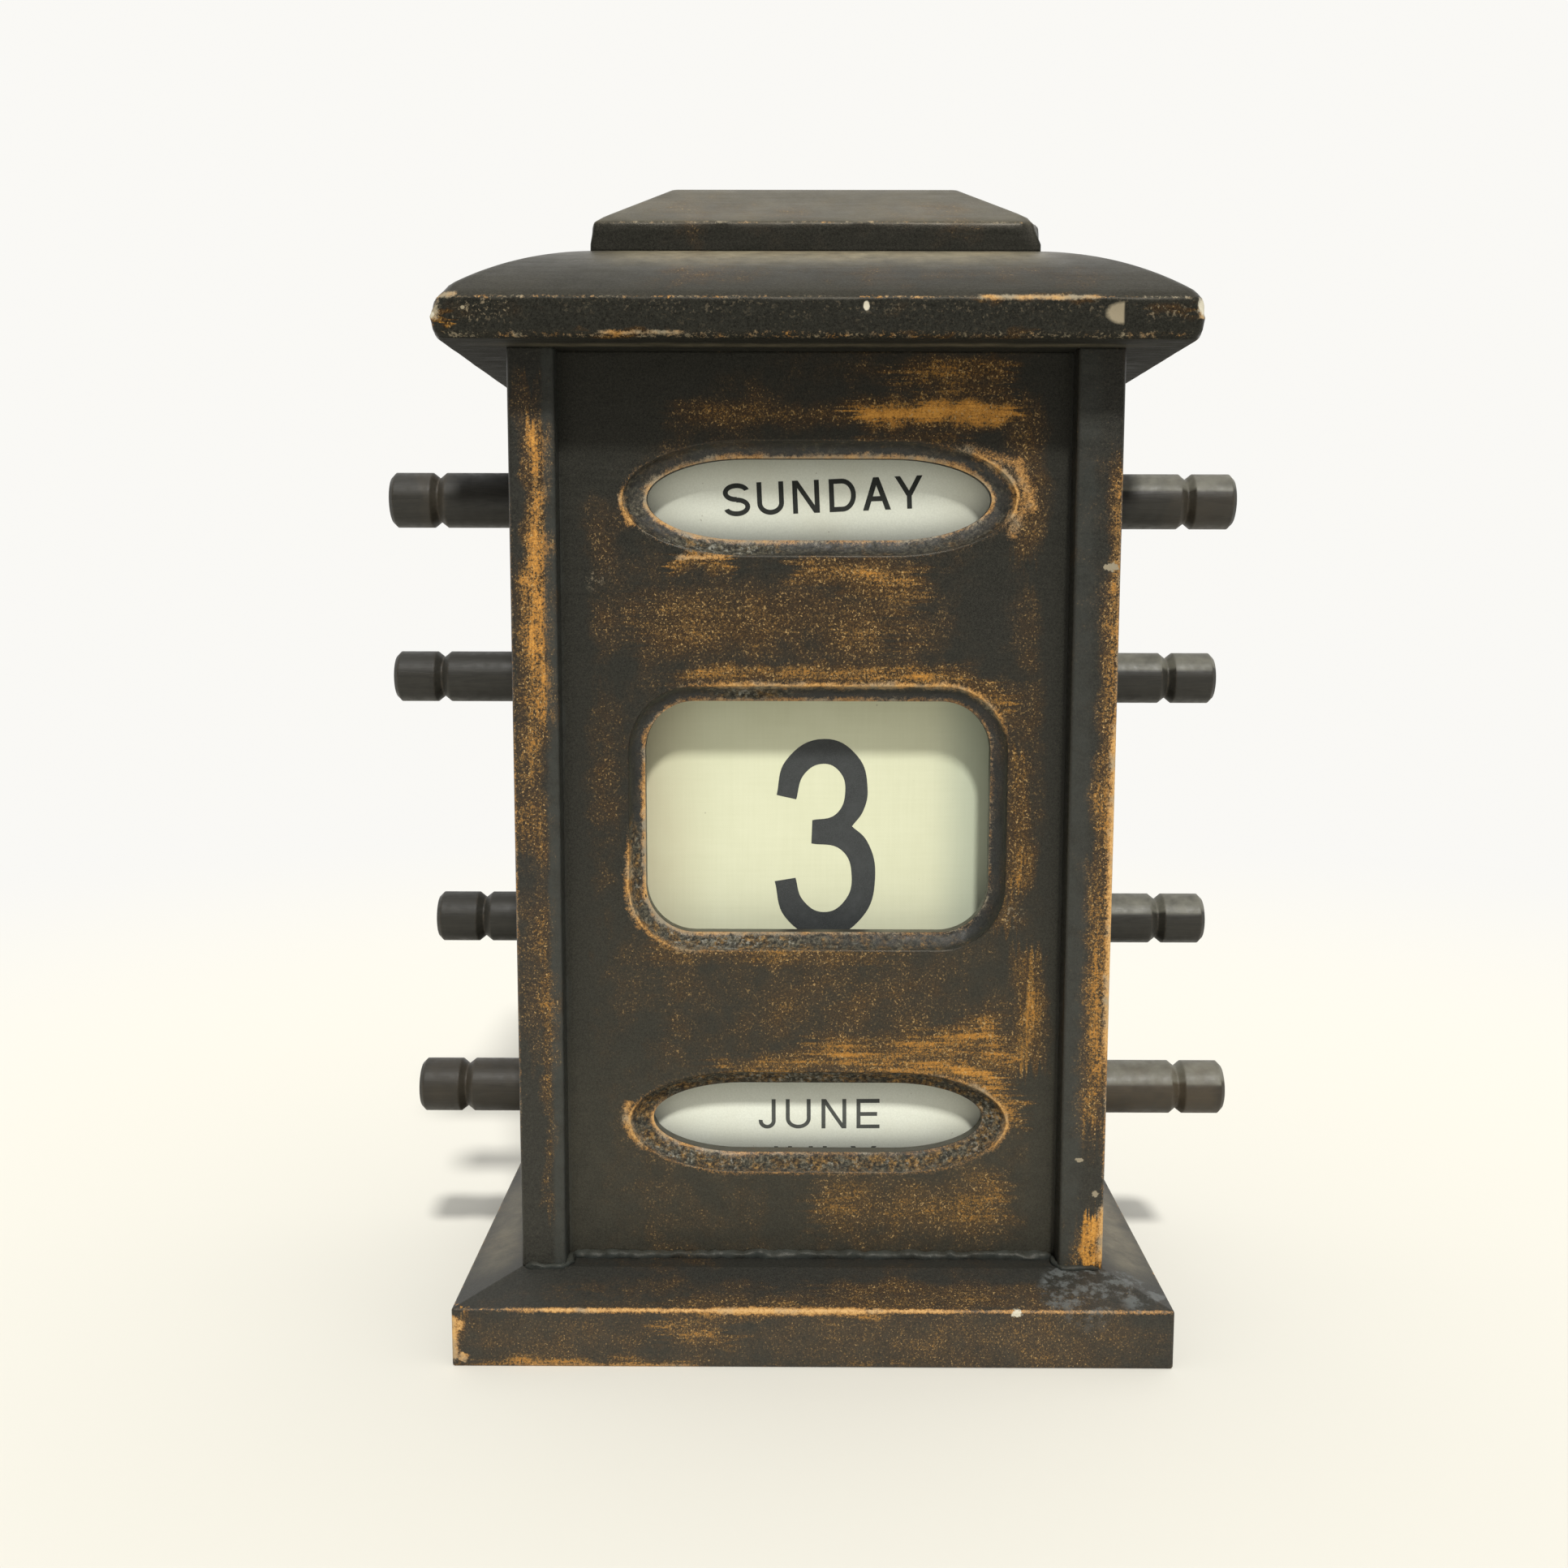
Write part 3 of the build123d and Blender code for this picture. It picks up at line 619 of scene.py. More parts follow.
DATE_WEAR = Wear(
    brim=[
        (0.0, 0.15), (0.04, 0.8), (0.08, 1.0), (0.13, 0.8), (0.20, 0.5), (0.32, 0.25), (0.40, 0.05),
        (0.57, 0.05), (0.61, 0.85), (0.66, 1.0), (0.82, 0.95), (0.86, 0.3), (0.90, 0.05), (1.0, 0.15),
    ],
    lip=[
        (0.0, 1.0), (0.12, 1.0), (0.25, 0.75), (0.38, 0.5), (0.50, 0.5), (0.62, 0.6), (0.75, 0.8),
        (0.90, 0.7), (1.0, 1.0),
    ],
    crumbled=[
        (0.0, 0.2), (0.05, 0.8), (0.12, 0.9), (0.19, 0.9), (0.24, 0.45), (0.34, 0.3), (0.40, 0.1),
        (0.76, 0.1), (0.80, 0.8), (0.84, 0.2), (1.0, 0.2),
    ],
    whitened=[
        (0.0, 0.0), (0.10, 0.5), (0.18, 0.9), (0.26, 0.4), (0.35, 0.0), (0.78, 0.0), (0.81, 0.9), (0.84, 0.0),
    ],
)
MONTH_WEAR = Wear(
    brim=[
        (0.0, 1.0), (0.05, 1.0), (0.12, 0.6), (0.36, 0.55), (0.44, 0.9), (0.52, 1.0), (0.62, 1.0),
        (0.68, 0.6), (0.80, 0.3), (0.90, 0.5), (0.96, 1.0), (1.0, 1.0),
    ],
    lip=[(0.0, 1.0), (0.12, 0.85), (0.25, 0.6), (0.45, 0.5), (0.60, 0.35), (0.90, 0.45), (1.0, 1.0)],
    crumbled=[(0.0, 0.9), (0.10, 1.0), (0.56, 1.0), (0.66, 0.8), (0.90, 0.8), (1.0, 0.9)],
    whitened=[
        (0.0, 0.2), (0.14, 0.7), (0.22, 0.3), (0.42, 0.6), (0.50, 1.0), (0.57, 0.5), (0.70, 0.3),
        (0.74, 1.0), (0.79, 0.9), (0.84, 0.2),
    ],
)
BRIM_BARENESS, LIP_BARENESS = 0.85, 0.92     # how bare the worn arrises are at most
WINDOWS = [(WEEKDAY_WINDOW, WEEKDAY_WEAR), (DATE_WINDOW, DATE_WEAR), (MONTH_WINDOW, MONTH_WEAR)]


def round_window(g, coords, window):
    """Share of a turn round a window."""
    away = g.vector("SUBTRACT", coords, (window.x, 0, window.z))
    parts = g.parts(g.vector("DIVIDE", away, (window.half_w, 1, window.half_h)))
    return g.remap(g.math("ARCTAN2", parts["Z"], parts["X"]), -pi, pi)


def amount_along(g, share, stops):
    """An amount that changes round a window."""
    return g.ramp(share, [(place, (amount, amount, amount)) for place, amount in stops])


def brim_line(g, coords, strayed, window, share, wear):
    """How far the outer arris of a moulding is worn to wood, and the distance from its opening."""
    outer, inner = window_lines(g, strayed, window)
    width = g.remap(g.noise(coords, 0.12, 3.0), 0.35, 0.65, 1.0, 2.4)
    line = g.remap(g.math("ABSOLUTE", g.add(outer, -0.2)), width, 0.1)
    return g.times(line, amount_along(g, share, wear.brim)), inner


def panel_mouldings(g, coords, line):
    """Worn outer arrises of the three windows."""
    strayed = wander(g, coords, 0.45, 1.6)
    for window, wear in WINDOWS:
        brim, _ = brim_line(g, coords, strayed, window, round_window(g, coords, window), wear)
        line = g.math("MAXIMUM", line, g.times(brim, BRIM_BARENESS))
    return line


def panel_margins(g, coords, facing):
    """Painted cool grey sheen along the joints with the stiles."""
    across = g.math("ABSOLUTE", g.parts(wander(g, coords, 0.1, 2.5))["X"])
    return g.remap(across, 53.8, 56.2, 0.0, 0.7, smooth=True)


def panel_corners(g, coords):
    """Thick paint left along both sides and in the upper left corner of the panel."""
    parts = g.parts(wander(g, coords, 0.05, 16.0))
    sides = g.remap(g.math("ABSOLUTE", parts["X"]), 47.0, 55.0, 0.0, 0.30, smooth=True)
    head = g.remap(g.math("SUBTRACT", parts["Z"], parts["X"]), 222.0, 246.0, 0.0, 0.34, smooth=True)
    return g.math("MAXIMUM", sides, head)


panel_paint = finish_paint(case_paint(
    "panel paint",
    on_face(PANEL_Y, [
        (-38, 205.0, 22, 205.4, 2.9, 0.30), (4, 205.8, 48, 205.3, 3.2, 0.96),
        (8, 200.6, 36, 200.2, 2.1, 0.36), (16, 213.6, 43, 214.4, 2.8, 0.54),
        (20, 209.8, 44, 210.4, 2.2, 0.38), (-32, 174.0, -17, 174.2, 2.3, 0.68),
        (-8, 172.2, 24, 170.6, 3.6, 0.50), (4, 168, 24, 167, 2.8, 0.34),
        (-44, 160.5, 24, 160.0, 9.0, 0.30), (-34, 148.9, 38, 148.6, 2.4, 0.56),
        (30, 148.6, 44, 142, 2.8, 0.50), (-38, 87.6, 22, 87.4, 3.4, 0.40),
        (-38, 77, 52, 77, 13, 0.18), (0, 73, 24, 81.5, 1.6, 0.30),
        (-24, 59.6, 16, 64.6, 3.6, 0.60), (-4, 65.0, 34, 61.6, 4.4, 0.64),
        (10, 62.0, 46, 59.6, 3.0, 0.74), (12, 62.0, 44, 71.5, 4.6, 0.62),
        (26, 66.8, 48, 64.4, 4.2, 0.62), (34, 61.6, 48.4, 48, 3.0, 0.70),
        (-2, 28.4, 46, 29.8, 7.4, 0.40),
    ]),
    upright=on_face(PANEL_Y, [
        (-48.6, 200, -48.6, 146, 7.4, 0.18), (-49.0, 154, -49.6, 84, 7.0, 0.20),
        (45.6, 209, 46, 172, 4.8, 0.26), (49, 174, 48.5, 112, 6.4, 0.18),
        (45.4, 136, 45.4, 99, 3.4, 0.46), (43.6, 101, 43.2, 91, 3.4, 0.38),
        (50.0, 58, 48.0, 90, 4.4, 0.56),
    ]),
    lines=on_face(PANEL_Y, [
        (-31, 174.6, -18, 174.8, 0.7, 0.80), (-40.6, 189.8, -41.2, 186.4, 1.3, 0.66),
        (-41.2, 186.6, -38.8, 181.0, 1.9, 0.78), (30.0, 198.6, 46.6, 193.4, 1.8, 0.58),
        (42.6, 197.4, 47.6, 183.0, 2.1, 0.66), (47.4, 191.6, 41.6, 177.4, 1.8, 0.60),
        (-41.2, 107, -41.2, 98, 1.2, 0.60), (-41.2, 99, -37.4, 92.2, 1.5, 0.64),
        (-41.2, 54, -42.0, 50, 1.5, 0.70), (-42.0, 51, -39.4, 44.2, 2.1, 0.80),
    ]),
    flecks=on_face(PANEL_Y, [
        (42.6, 96, 46.6, 94.4, 2.4, 0.9), (-31, 176.6, -17, 175.4, 1.6, 0.8),
        (-49, 172, -46, 168, 2.6, 0.6),
    ]),
    ground=0.03,
    shine=0.40,
    tint=(1.0, 0.94, 0.81, 1),
    # pale haze over the lower panel, paler towards the bottom
    dust_and_sheen=on_face(PANEL_Y, [(-80, 34, 80, 36, 34, 0.13), (-60, 82, 60, 82, 22, 0.06)]),
    whole=panel_corners,
    painted_sheen=panel_margins,
    extra=panel_mouldings,
))


def moulding_paint(name, window, wear, warmth):
    """The hollow round one window: dark paint, crumbled filler in places, worn to wood at its edges."""
    material, g, shader = new_material(name)
    coords = g.object_mm()
    share = round_window(g, wander(g, coords, 0.2, 4.0), window)
    brim, inner = brim_line(g, coords, wander(g, coords, 0.45, 1.6), window, share, wear)
    reach = g.remap(g.noise(coords, 0.25, 3.0), 0.35, 0.65, 1.2, 2.3)
    lip = g.times(g.remap(inner, reach, 0.3), amount_along(g, share, wear.lip))
    worn = g.math("MAXIMUM", g.times(brim, BRIM_BARENESS), g.times(lip, LIP_BARENESS))
    paint = g.group(RUBBED_PAINT, coords=coords, rub=0.0, line=worn, mottle=1.0, pale=0.2)
    crumbs = g.group(
        CRUMBS, coords=coords, warmth=warmth, whiteness=amount_along(g, share, wear.whitened),
    )
    crumbled = amount_along(g, share, wear.crumbled)
    broken = g.remap(g.add(crumbled, g.swing(g.noise(coords, 0.4, 3.0), 0.5)), 0.2, 0.5)
    broken = g.times(broken, g.remap(worn, 0.25, 0.60, 1.0, 0.1))
    g.feed(shader.inputs["Base Color"], g.mix(broken, paint.outputs["Color"], crumbs.outputs["Color"]))
    g.feed(shader.inputs["Roughness"], g.remap(broken, 0.0, 1.0, 0.48, 0.85))
    shader.inputs["IOR"].default_value = 1.5
    add_relief(g, shader, crumbs.outputs["Height"], g.remap(broken, 0.0, 1.0, 0.10, 0.6), 0.35)
    return material


weekday_moulding_paint = moulding_paint("weekday moulding paint", WEEKDAY_WINDOW, WEEKDAY_WEAR, 0.30)
date_moulding_paint = moulding_paint("date moulding paint", DATE_WINDOW, DATE_WEAR, 0.45)
month_moulding_paint = moulding_paint("month moulding paint", MONTH_WINDOW, MONTH_WEAR, 0.50)


def side_rubs(x):
    """Rubs on the outer side of a side board: round its shafts, along the rear arris and low down."""
    held = [((x, SHAFT_Y, z + 10), (x, SHAFT_Y, z - 10), 11, 0.30) for z in SHAFT_HEIGHTS]
    back = -BODY_Y - 0.4
    return held + [
        ((x, back, 212), (x, back, 150), 2.4, 0.74), ((x, back, 128), (x, back, 52), 2.2, 0.66),
        ((x, 16, 66), (x, 20, 20), 8, 0.36), ((x, -28, 170), (x, -30, 104), 6, 0.30),
    ]


def left_stile_edge(g, coords, facing):
    """Painted cool grey sheen on the stile's side towards the panel and just round its arris."""
    return g.remap(g.parts(wander(g, coords, 0.1, 1.8))["X"], -58.2, -57.0, 0.0, 0.75, smooth=True)


def right_stile_edge(g, coords, facing):
    """Painted cool grey sheen on the front near the panel, but not on the side in the joint."""
    near = g.remap(g.parts(wander(g, coords, 0.1, 3.0))["X"], 61.2, 58.0, 0.0, 0.55, smooth=True)
    return g.times(near, g.remap(g.parts(facing)["X"], -0.6, -0.3))


left_stile_paint = finish_paint(case_paint(
    "left stile paint",
    [],
    upright=on_face(BODY_Y, [
        (-59.0, 208, -58.8, 156, 3.0, 0.92), (-59.4, 178, -59.2, 136, 3.9, 0.84),
        (-60.6, 164, -60.8, 104, 4.6, 0.54), (-59.6, 130, -59.4, 74, 3.4, 0.36),
        (-58.8, 92, -58.4, 46, 2.4, 0.50), (-58.6, 58, -58.2, 26, 2.1, 0.42),
        (-60.5, 213, -60, 194, 3.8, 0.34), (-62.4, 124, -62.2, 56, 3.4, 0.26),
    ]) + side_rubs(-BODY_HALF_W),
    lines=on_face(BODY_Y, [(-65, 25, -65, 205, 0.75, 0.50), (-65, 145, -65, 85, 0.9, 0.65)]),
    ground=-0.07,
    speckle=1.2,
    painted_sheen=left_stile_edge,
))
right_stile_paint = finish_paint(case_paint(
    "right stile paint",
    [],
    upright=on_face(BODY_Y, [
        (64.4, 200, 64.2, 146, 2.4, 0.55), (63.8, 168, 63.6, 112, 3.4, 0.66),
        (63.4, 134, 63.0, 52, 3.6, 0.68), (61.6, 116, 61.4, 42, 3.0, 0.62),
        (62.8, 29.5, 60.8, 16.5, 3.8, 1.0),
    ]) + side_rubs(BODY_HALF_W),
    lines=on_face(BODY_Y, [
        (65, 16, 65, 200, 0.95, 0.66), (65, 150, 65, 56, 1.7, 0.98), (65, 33, 65, 17, 1.8, 0.95),
    ]),
    chips=[
        Chip((62.9, BODY_Y, 34.4), (0.7, 2, 0.9), 2.2),
        Chip((59.2, BODY_Y, 42.2), (0.9, 2, 0.45), 2.2),
        Chip((63.0, BODY_Y, 172.7), (1.6, 2, 0.9), 2.6),
    ],
    ground=-0.05,
    speckle=1.2,
    painted_sheen=right_stile_edge,
))


def base_crackle(coat):
    """Bluish crackled paint at the right of the front bevel."""
    g, coords = coat.g, coat.coords
    place = mask_of(g, "crackle place", [
        ((50, -44, 16), (68, -46, 14), 7, 1.0), ((66, -40, 16), (76, -49, 13.5), 5.5, 1.0),
    ])
    clouds = g.noise(coords, 0.34, 6.0, 0.75)
    share = g.times(g.remap(place, 0.1, 0.5), g.remap(clouds, 0.47, 0.60, smooth=True))
    colour = g.mix(g.times(share, 0.7), coat.colour, (0.115, 0.125, 0.122, 1))
    dulled = g.math("MAXIMUM", coat.roughness, 0.54)
    return coat._replace(colour=colour, roughness=dulled)


base_paint = finish_paint(base_crackle(case_paint(
    "base paint",
    on_face(EDGE_Y, [
        (-36, 9.2, -15, 8.2, 4.6, 0.56), (-50, 6.5, -34, 5, 3.4, 0.32),
        (-78, 1.0, -22, 0.8, 1.9, 0.66), (-22, 0.8, 28, 0.8, 1.2, 0.34),
        (-32, 12.6, 22, 12.4, 1.9, 0.62), (-90, 6, 90, 6, 11, 0.24),
    ]) + [
        ((-40, -50, 13.8), (48, -50, 13.9), 3.4, 0.36), ((-6, -46, 15), (60, -46.5, 15), 3.2, 0.28),
        ((-56, -46, 15.2), (-4, -46, 15.2), 3.8, 0.22), ((78, -22, 6), (78, 34, 6), 5, 0.36),
        ((-78, -34, 7), (-78, 20, 5), 5, 0.36), ((-44, 52, 6), (36, 52, 7), 5, 0.34),
        ((-50, 50, 13.6), (30, 50, 13.8), 2.8, 0.36),
    ],
    upright=on_face(EDGE_Y, [(-77.6, 11, -77.4, 2, 2.6, 0.95)]),
    lines=on_face(EDGE_Y, [
        (-26, 13, 16, 13, 1.35, 0.95), (-76, 13, 44, 13, 0.85, 0.88), (30, 13, 82, 13, 0.75, 0.66),
        (-78.2, 12.5, -78.2, 0.5, 1.7, 1.0), (-76.4, 10.6, -76.8, 8, 1.3, 0.9),
        (-75.4, 3.4, -76.4, 1, 1.4, 0.9), (-70, 0, -20, 0, 1.1, 0.75),
    ]),
    rims=[((*HALF_PLAN, BASE_EDGE_H), 0.9, 0.80), ((*HALF_PLAN, 0.0), 0.9, 0.6)],
    chips=[Chip((44.1, EDGE_Y, 12.5), (1.2, 1.6, 0.8), 1.6, tone=WHITE_PRIMER)],
    ground=-0.01,
    edge_wear=0.5,
    dust=0.0,
    # the haze at the left end of the bevel is a painted reflection; the others make the right end and the
    # front face paler
    dust_and_sheen=[
        ((72.0, -42, 15), (72.0, 44, 15), 6.0, 1.1), ((-72.0, -42, 15), (-72.0, 44, 15), 6.0, 0.8),
        ((-90, EDGE_Y, 6), (90, EDGE_Y, 6), 11, 0.12),
    ],
    pale=0.05,
    tint=(1.0, 0.96, 0.88, 1),
)))

DUSTY_SHEEN = (1.0, 0.90, 0.74, 1)

cornice_paint = finish_paint(case_paint(
    "cornice paint",
    on_face(EDGE_Y, [
        (28, 226.2, 60, 226.2, 1.2, 0.60), (-50, 218.6, -22, 218.6, 1.4, 0.60),
        (16, 218.6, 46, 218.6, 1.4, 0.60), (64, 223.4, 79, 224, 2.4, 0.50),
        (8, 223.4, 52, 223.6, 1.9, 0.22), (-80, 223.5, -54, 223.5, 3, 0.20),
    ]) + [
        ((-50, -30, 238), (60, -30, 238), 9, 0.36), ((-46, -44, 231), (70, -44, 231), 8, 0.30),
        ((-77, -50, 225), (-77, -50, 221), 2.4, 0.85), ((40, 40, 232), (-40, 40, 232), 9, 0.3),
        ((70, -20, 232), (70, 20, 232), 7, 0.3), ((-70, 24, 232), (-70, -16, 232), 7, 0.3),
        ((-78, -30, 222), (-78, 22, 222), 3.4, 0.30), ((78, 34, 222), (78, -18, 222), 3.4, 0.30),
        ((-30, 52, 222.6), (44, 52, 222.6), 3.4, 0.30),
    ],
    lines=on_face(EDGE_Y, [
        (30, 226.3, 59, 226.3, 0.9, 0.95), (-46, 218.9, -25, 218.9, 0.8, 0.8),
        (-78, 226.6, -78, 221, 2.2, 1.0), (78, 226, 78, 221.5, 1.7, 0.95),
    ]) + [((-78.4, -50, 226.6), (-72, -51.6, 226.6), 1.2, 0.8)],
    rims=[((*HALF_PLAN, CORNICE_ARRIS_Z), 0.9, 0.95), ((*HALF_PLAN, CORNICE_LOW.z), 2.3, 0.95)],
    chips=[
        Chip((61.5, EDGE_Y, 223.0), (3.6, 3, 2.2), 0.25, cut=0.02),
        Chip((9.9, EDGE_Y, 224.3), (0.65, 2, 0.95), 0.5, tone=WHITE_PRIMER),
        Chip((78.4, EDGE_Y, 224.6), (2.0, 4.5, 2.3), 0.7, tone=WHITE_PRIMER),
        Chip((-71.2, EDGE_Y, 223.9), (0.45, 2, 0.4), 0.8),
        Chip((-77.9, EDGE_Y, 222.6), (0.9, 2, 0.8), 1.0, tone=WHITE_PRIMER),
    ],
    flecks=on_face(EDGE_Y, [
        (-74, 223.8, -60, 223.4, 2.4, 0.7), (-60, 224.0, 76, 224.2, 1.5, 0.26),
        (66, 223.6, 77, 223.6, 2.0, 0.6), (-46, 222.6, 60, 222.2, 2.4, 0.10),
    ]),
    ground=-0.19,
    speckle=0.8,
    edge_wear=0.4,
    dust=0.085,
    # the haze on the soffit next to the body is painted bounced light; the strips on the dome make it paler,
    # most along its front
    dust_and_sheen=[
        ((-50, -31, 238), (54, -31, 238), 9, 1.75), ((54, -24, 240), (54, 26, 240), 5, 0.7),
        ((-54, -24, 240), (-54, 26, 240), 5, 0.5), ((-52, 30, 238), (52, 30, 238), 8, 0.8),
        ((-72, -42.0, CORNICE_LOW.z), (72, -42.0, CORNICE_LOW.z), 2.4, 0.7),
    ],
    pale=0.24,
    shine=0.16,
    tint=DUSTY_SHEEN,
))

crown_paint = finish_paint(case_paint(
    "crown paint",
    [((-40, -18, 250), (40, -18, 250), 9, 0.30), ((-40, 18, 250), (40, 18, 250), 9, 0.25)],
    rims=[((*HALF_CROWN, CROWN_ARRIS_Z), 1.0, 0.85)],
    ground=-0.14,
    speckle=0.8,
    edge_wear=0.45,
    dust=0.34,
    pale=0.30,
    shine=0.26,
    tint=DUSTY_SHEEN,
))


def filler_painted_sheen(g, coords, facing):
    """Painted cool grey sheen in clouds all over the filler."""
    return g.remap(g.noise(coords, 0.2, 3.0), 0.3, 0.7, 0.5, 1.0)


filler_paint = finish_paint(case_paint(
    "filler paint", [], ground=-0.05, edge_wear=0.0, dust=0.05, shine=0.12, painted_sheen=filler_painted_sheen,
))


# ---------------------------------------------------------------------------
# Other finishes
# ---------------------------------------------------------------------------
def stained_shaft():
    """Dark-stained dowel: browner where fingers rub it, with a painted grey sheen on top of the right-hand
    knobs.
    """
    material, g, shader = new_material("stained dowel")
    coords = g.object_mm()
    grain = g.group(
        WOOD_GRAIN, coords=coords, stretch=(0.06, 1.0, 1.0),
        light_wood=(0.030, 0.027, 0.020, 1), dark_wood=(0.012, 0.011, 0.008, 1),
    )
    weekday_z, month_z = SHAFT_Z["weekday"], SHAFT_Z["month"]
    handled = mask_of(g, "handled knobs", [
        ((66, SHAFT_Y, month_z), (101, SHAFT_Y, month_z), 10, 0.9),
        ((80, SHAFT_Y, weekday_z), (98, SHAFT_Y, weekday_z), 10, 0.3),
        ((-92, SHAFT_Y, weekday_z), (-84, SHAFT_Y, weekday_z), 10, 0.25),
        ((-96, SHAFT_Y, month_z), (-66, SHAFT_Y, month_z), 10, 0.3),
    ])
    patchy = g.remap(g.noise(coords, 0.25, 4.0), 0.3, 0.7, 0.5, 1.0)
    colour = g.mix(g.times(handled, patchy), grain.outputs["Color"], (0.085, 0.062, 0.036, 1))
    edge, eased = worn_edges(g, 0.8, 0.2)
    edge = g.times(edge, g.remap(g.noise(coords, 0.8, 3.0), 0.35, 0.6))
    colour = g.mix(g.times(edge, 0.5), colour, (0.105, 0.075, 0.045, 1))
    # painted grey sheen on the upper side of the right-hand knobs, standing in for a reflection
    right = g.remap(g.parts(coords)["X"], 60, 70)
    up = g.remap(g.parts(true_normal(g))["Z"], 0.28, 0.42, smooth=True)
    painted_knob_sheen = g.times(g.times(up, right), g.remap(g.noise(coords, 0.3, 4.0), 0.3, 0.7, 0.4, 0.9))
    g.feed(shader.inputs["Base Color"], g.mix(g.times(painted_knob_sheen, 0.85), colour, (0.185, 0.178, 0.140, 1)))
    g.feed(shader.inputs["Roughness"], g.remap(g.noise(coords, 0.5, 4.0), 0.3, 0.7, 0.42, 0.60))
    shader.inputs["IOR"].default_value = 1.45
    add_relief(g, shader, grain.outputs["Height"], 0.4, 0.08, eased)
    return material


def bare_softwood():
    """Unfinished softwood inside the case: drums, flanges and cleats."""
    material, g, shader = new_material("bare softwood")
    coords = g.object_mm()
    grain = g.group(
        WOOD_GRAIN, coords=coords, stretch=(0.05, 0.7, 0.7),
        light_wood=(0.60, 0.42, 0.24, 1), dark_wood=(0.36, 0.21, 0.10, 1),
    )
    stain = g.remap(g.noise(coords, 0.05, 4.0), 0.45, 0.75, 0.0, 0.45)
    g.feed(shader.inputs["Base Color"], g.mix(stain, grain.outputs["Color"], (0.22, 0.14, 0.08, 1)))
    g.feed(shader.inputs["Roughness"], g.remap(grain.outputs["Height"], 0.0, 1.0, 0.62, 0.8))
    _, eased = worn_edges(g, 0.4)
    add_relief(g, shader, grain.outputs["Height"], 0.5, 0.12, eased)
    return material


def back_paint():
    """Thin black paint brushed over plywood, with scuffs that show the wood."""
    material, g, shader = new_material("back paint")
    coords = g.object_mm()
    grain = g.group(
        WOOD_GRAIN, coords=coords, stretch=(0.8, 1.0, 0.04),
        light_wood=(0.033, 0.027, 0.021, 1), dark_wood=(0.014, 0.012, 0.010, 1),
    )
    scuff = g.remap(g.noise(g.vector("MULTIPLY", coords, (0.5, 1.0, 0.09)), 1.3, 5.0, 0.7), 0.58, 0.70)
    colour = g.mix(g.times(scuff, 0.6), grain.outputs["Color"], (0.20, 0.11, 0.05, 1))
    edge, eased = worn_edges(g, 0.6)
    edge = g.times(edge, g.remap(g.noise(coords, 0.5, 3.0), 0.45, 0.6))
    g.feed(shader.inputs["Base Color"], g.mix(edge, colour, (0.26, 0.14, 0.06, 1)))
    g.feed(shader.inputs["Roughness"], g.remap(g.noise(coords, 0.3, 4.0), 0.3, 0.7, 0.5, 0.72))
    add_relief(g, shader, grain.outputs["Height"], 0.5, 0.12, eased)
    return material


def label_paper():
    """Aged off-white paper with fibres and faint foxing, painted darker at its ends for the shade of the
    window's sides.
    """
    material, g, shader = new_material("label paper")
    coords = g.object_mm()
    fibre = g.noise(coords, 2.6, 5.0, 0.7)
    blotch = g.remap(g.noise(coords, 0.07, 4.0, 0.6), 0.4, 0.75)
    away = g.math("ABSOLUTE", g.parts(coords)["X"])
    # painted shade from the sides of the window, darker towards both ends
    ends = g.remap(away, 22, 40, smooth=True)
    colour = g.ramp(fibre, [(0.35, (0.70, 0.72, 0.62)), (0.65, (0.79, 0.81, 0.71))])
    colour = g.mix(g.times(blotch, 0.3), colour, (0.64, 0.63, 0.49, 1))
    colour = g.mix(g.times(ends, 0.4), colour, (0.58, 0.57, 0.45, 1))
    speck = g.remap(g.noise(coords, 0.75, 1.0, 0.4), 0.78, 0.81)
    g.feed(shader.inputs["Base Color"], g.mix(g.times(speck, 0.4), colour, (0.25, 0.20, 0.13, 1)))
    g.feed(shader.inputs["Roughness"], g.remap(fibre, 0.3, 0.7, 0.5, 0.62))
    add_relief(g, shader, fibre, 0.2, 0.05)
    return material


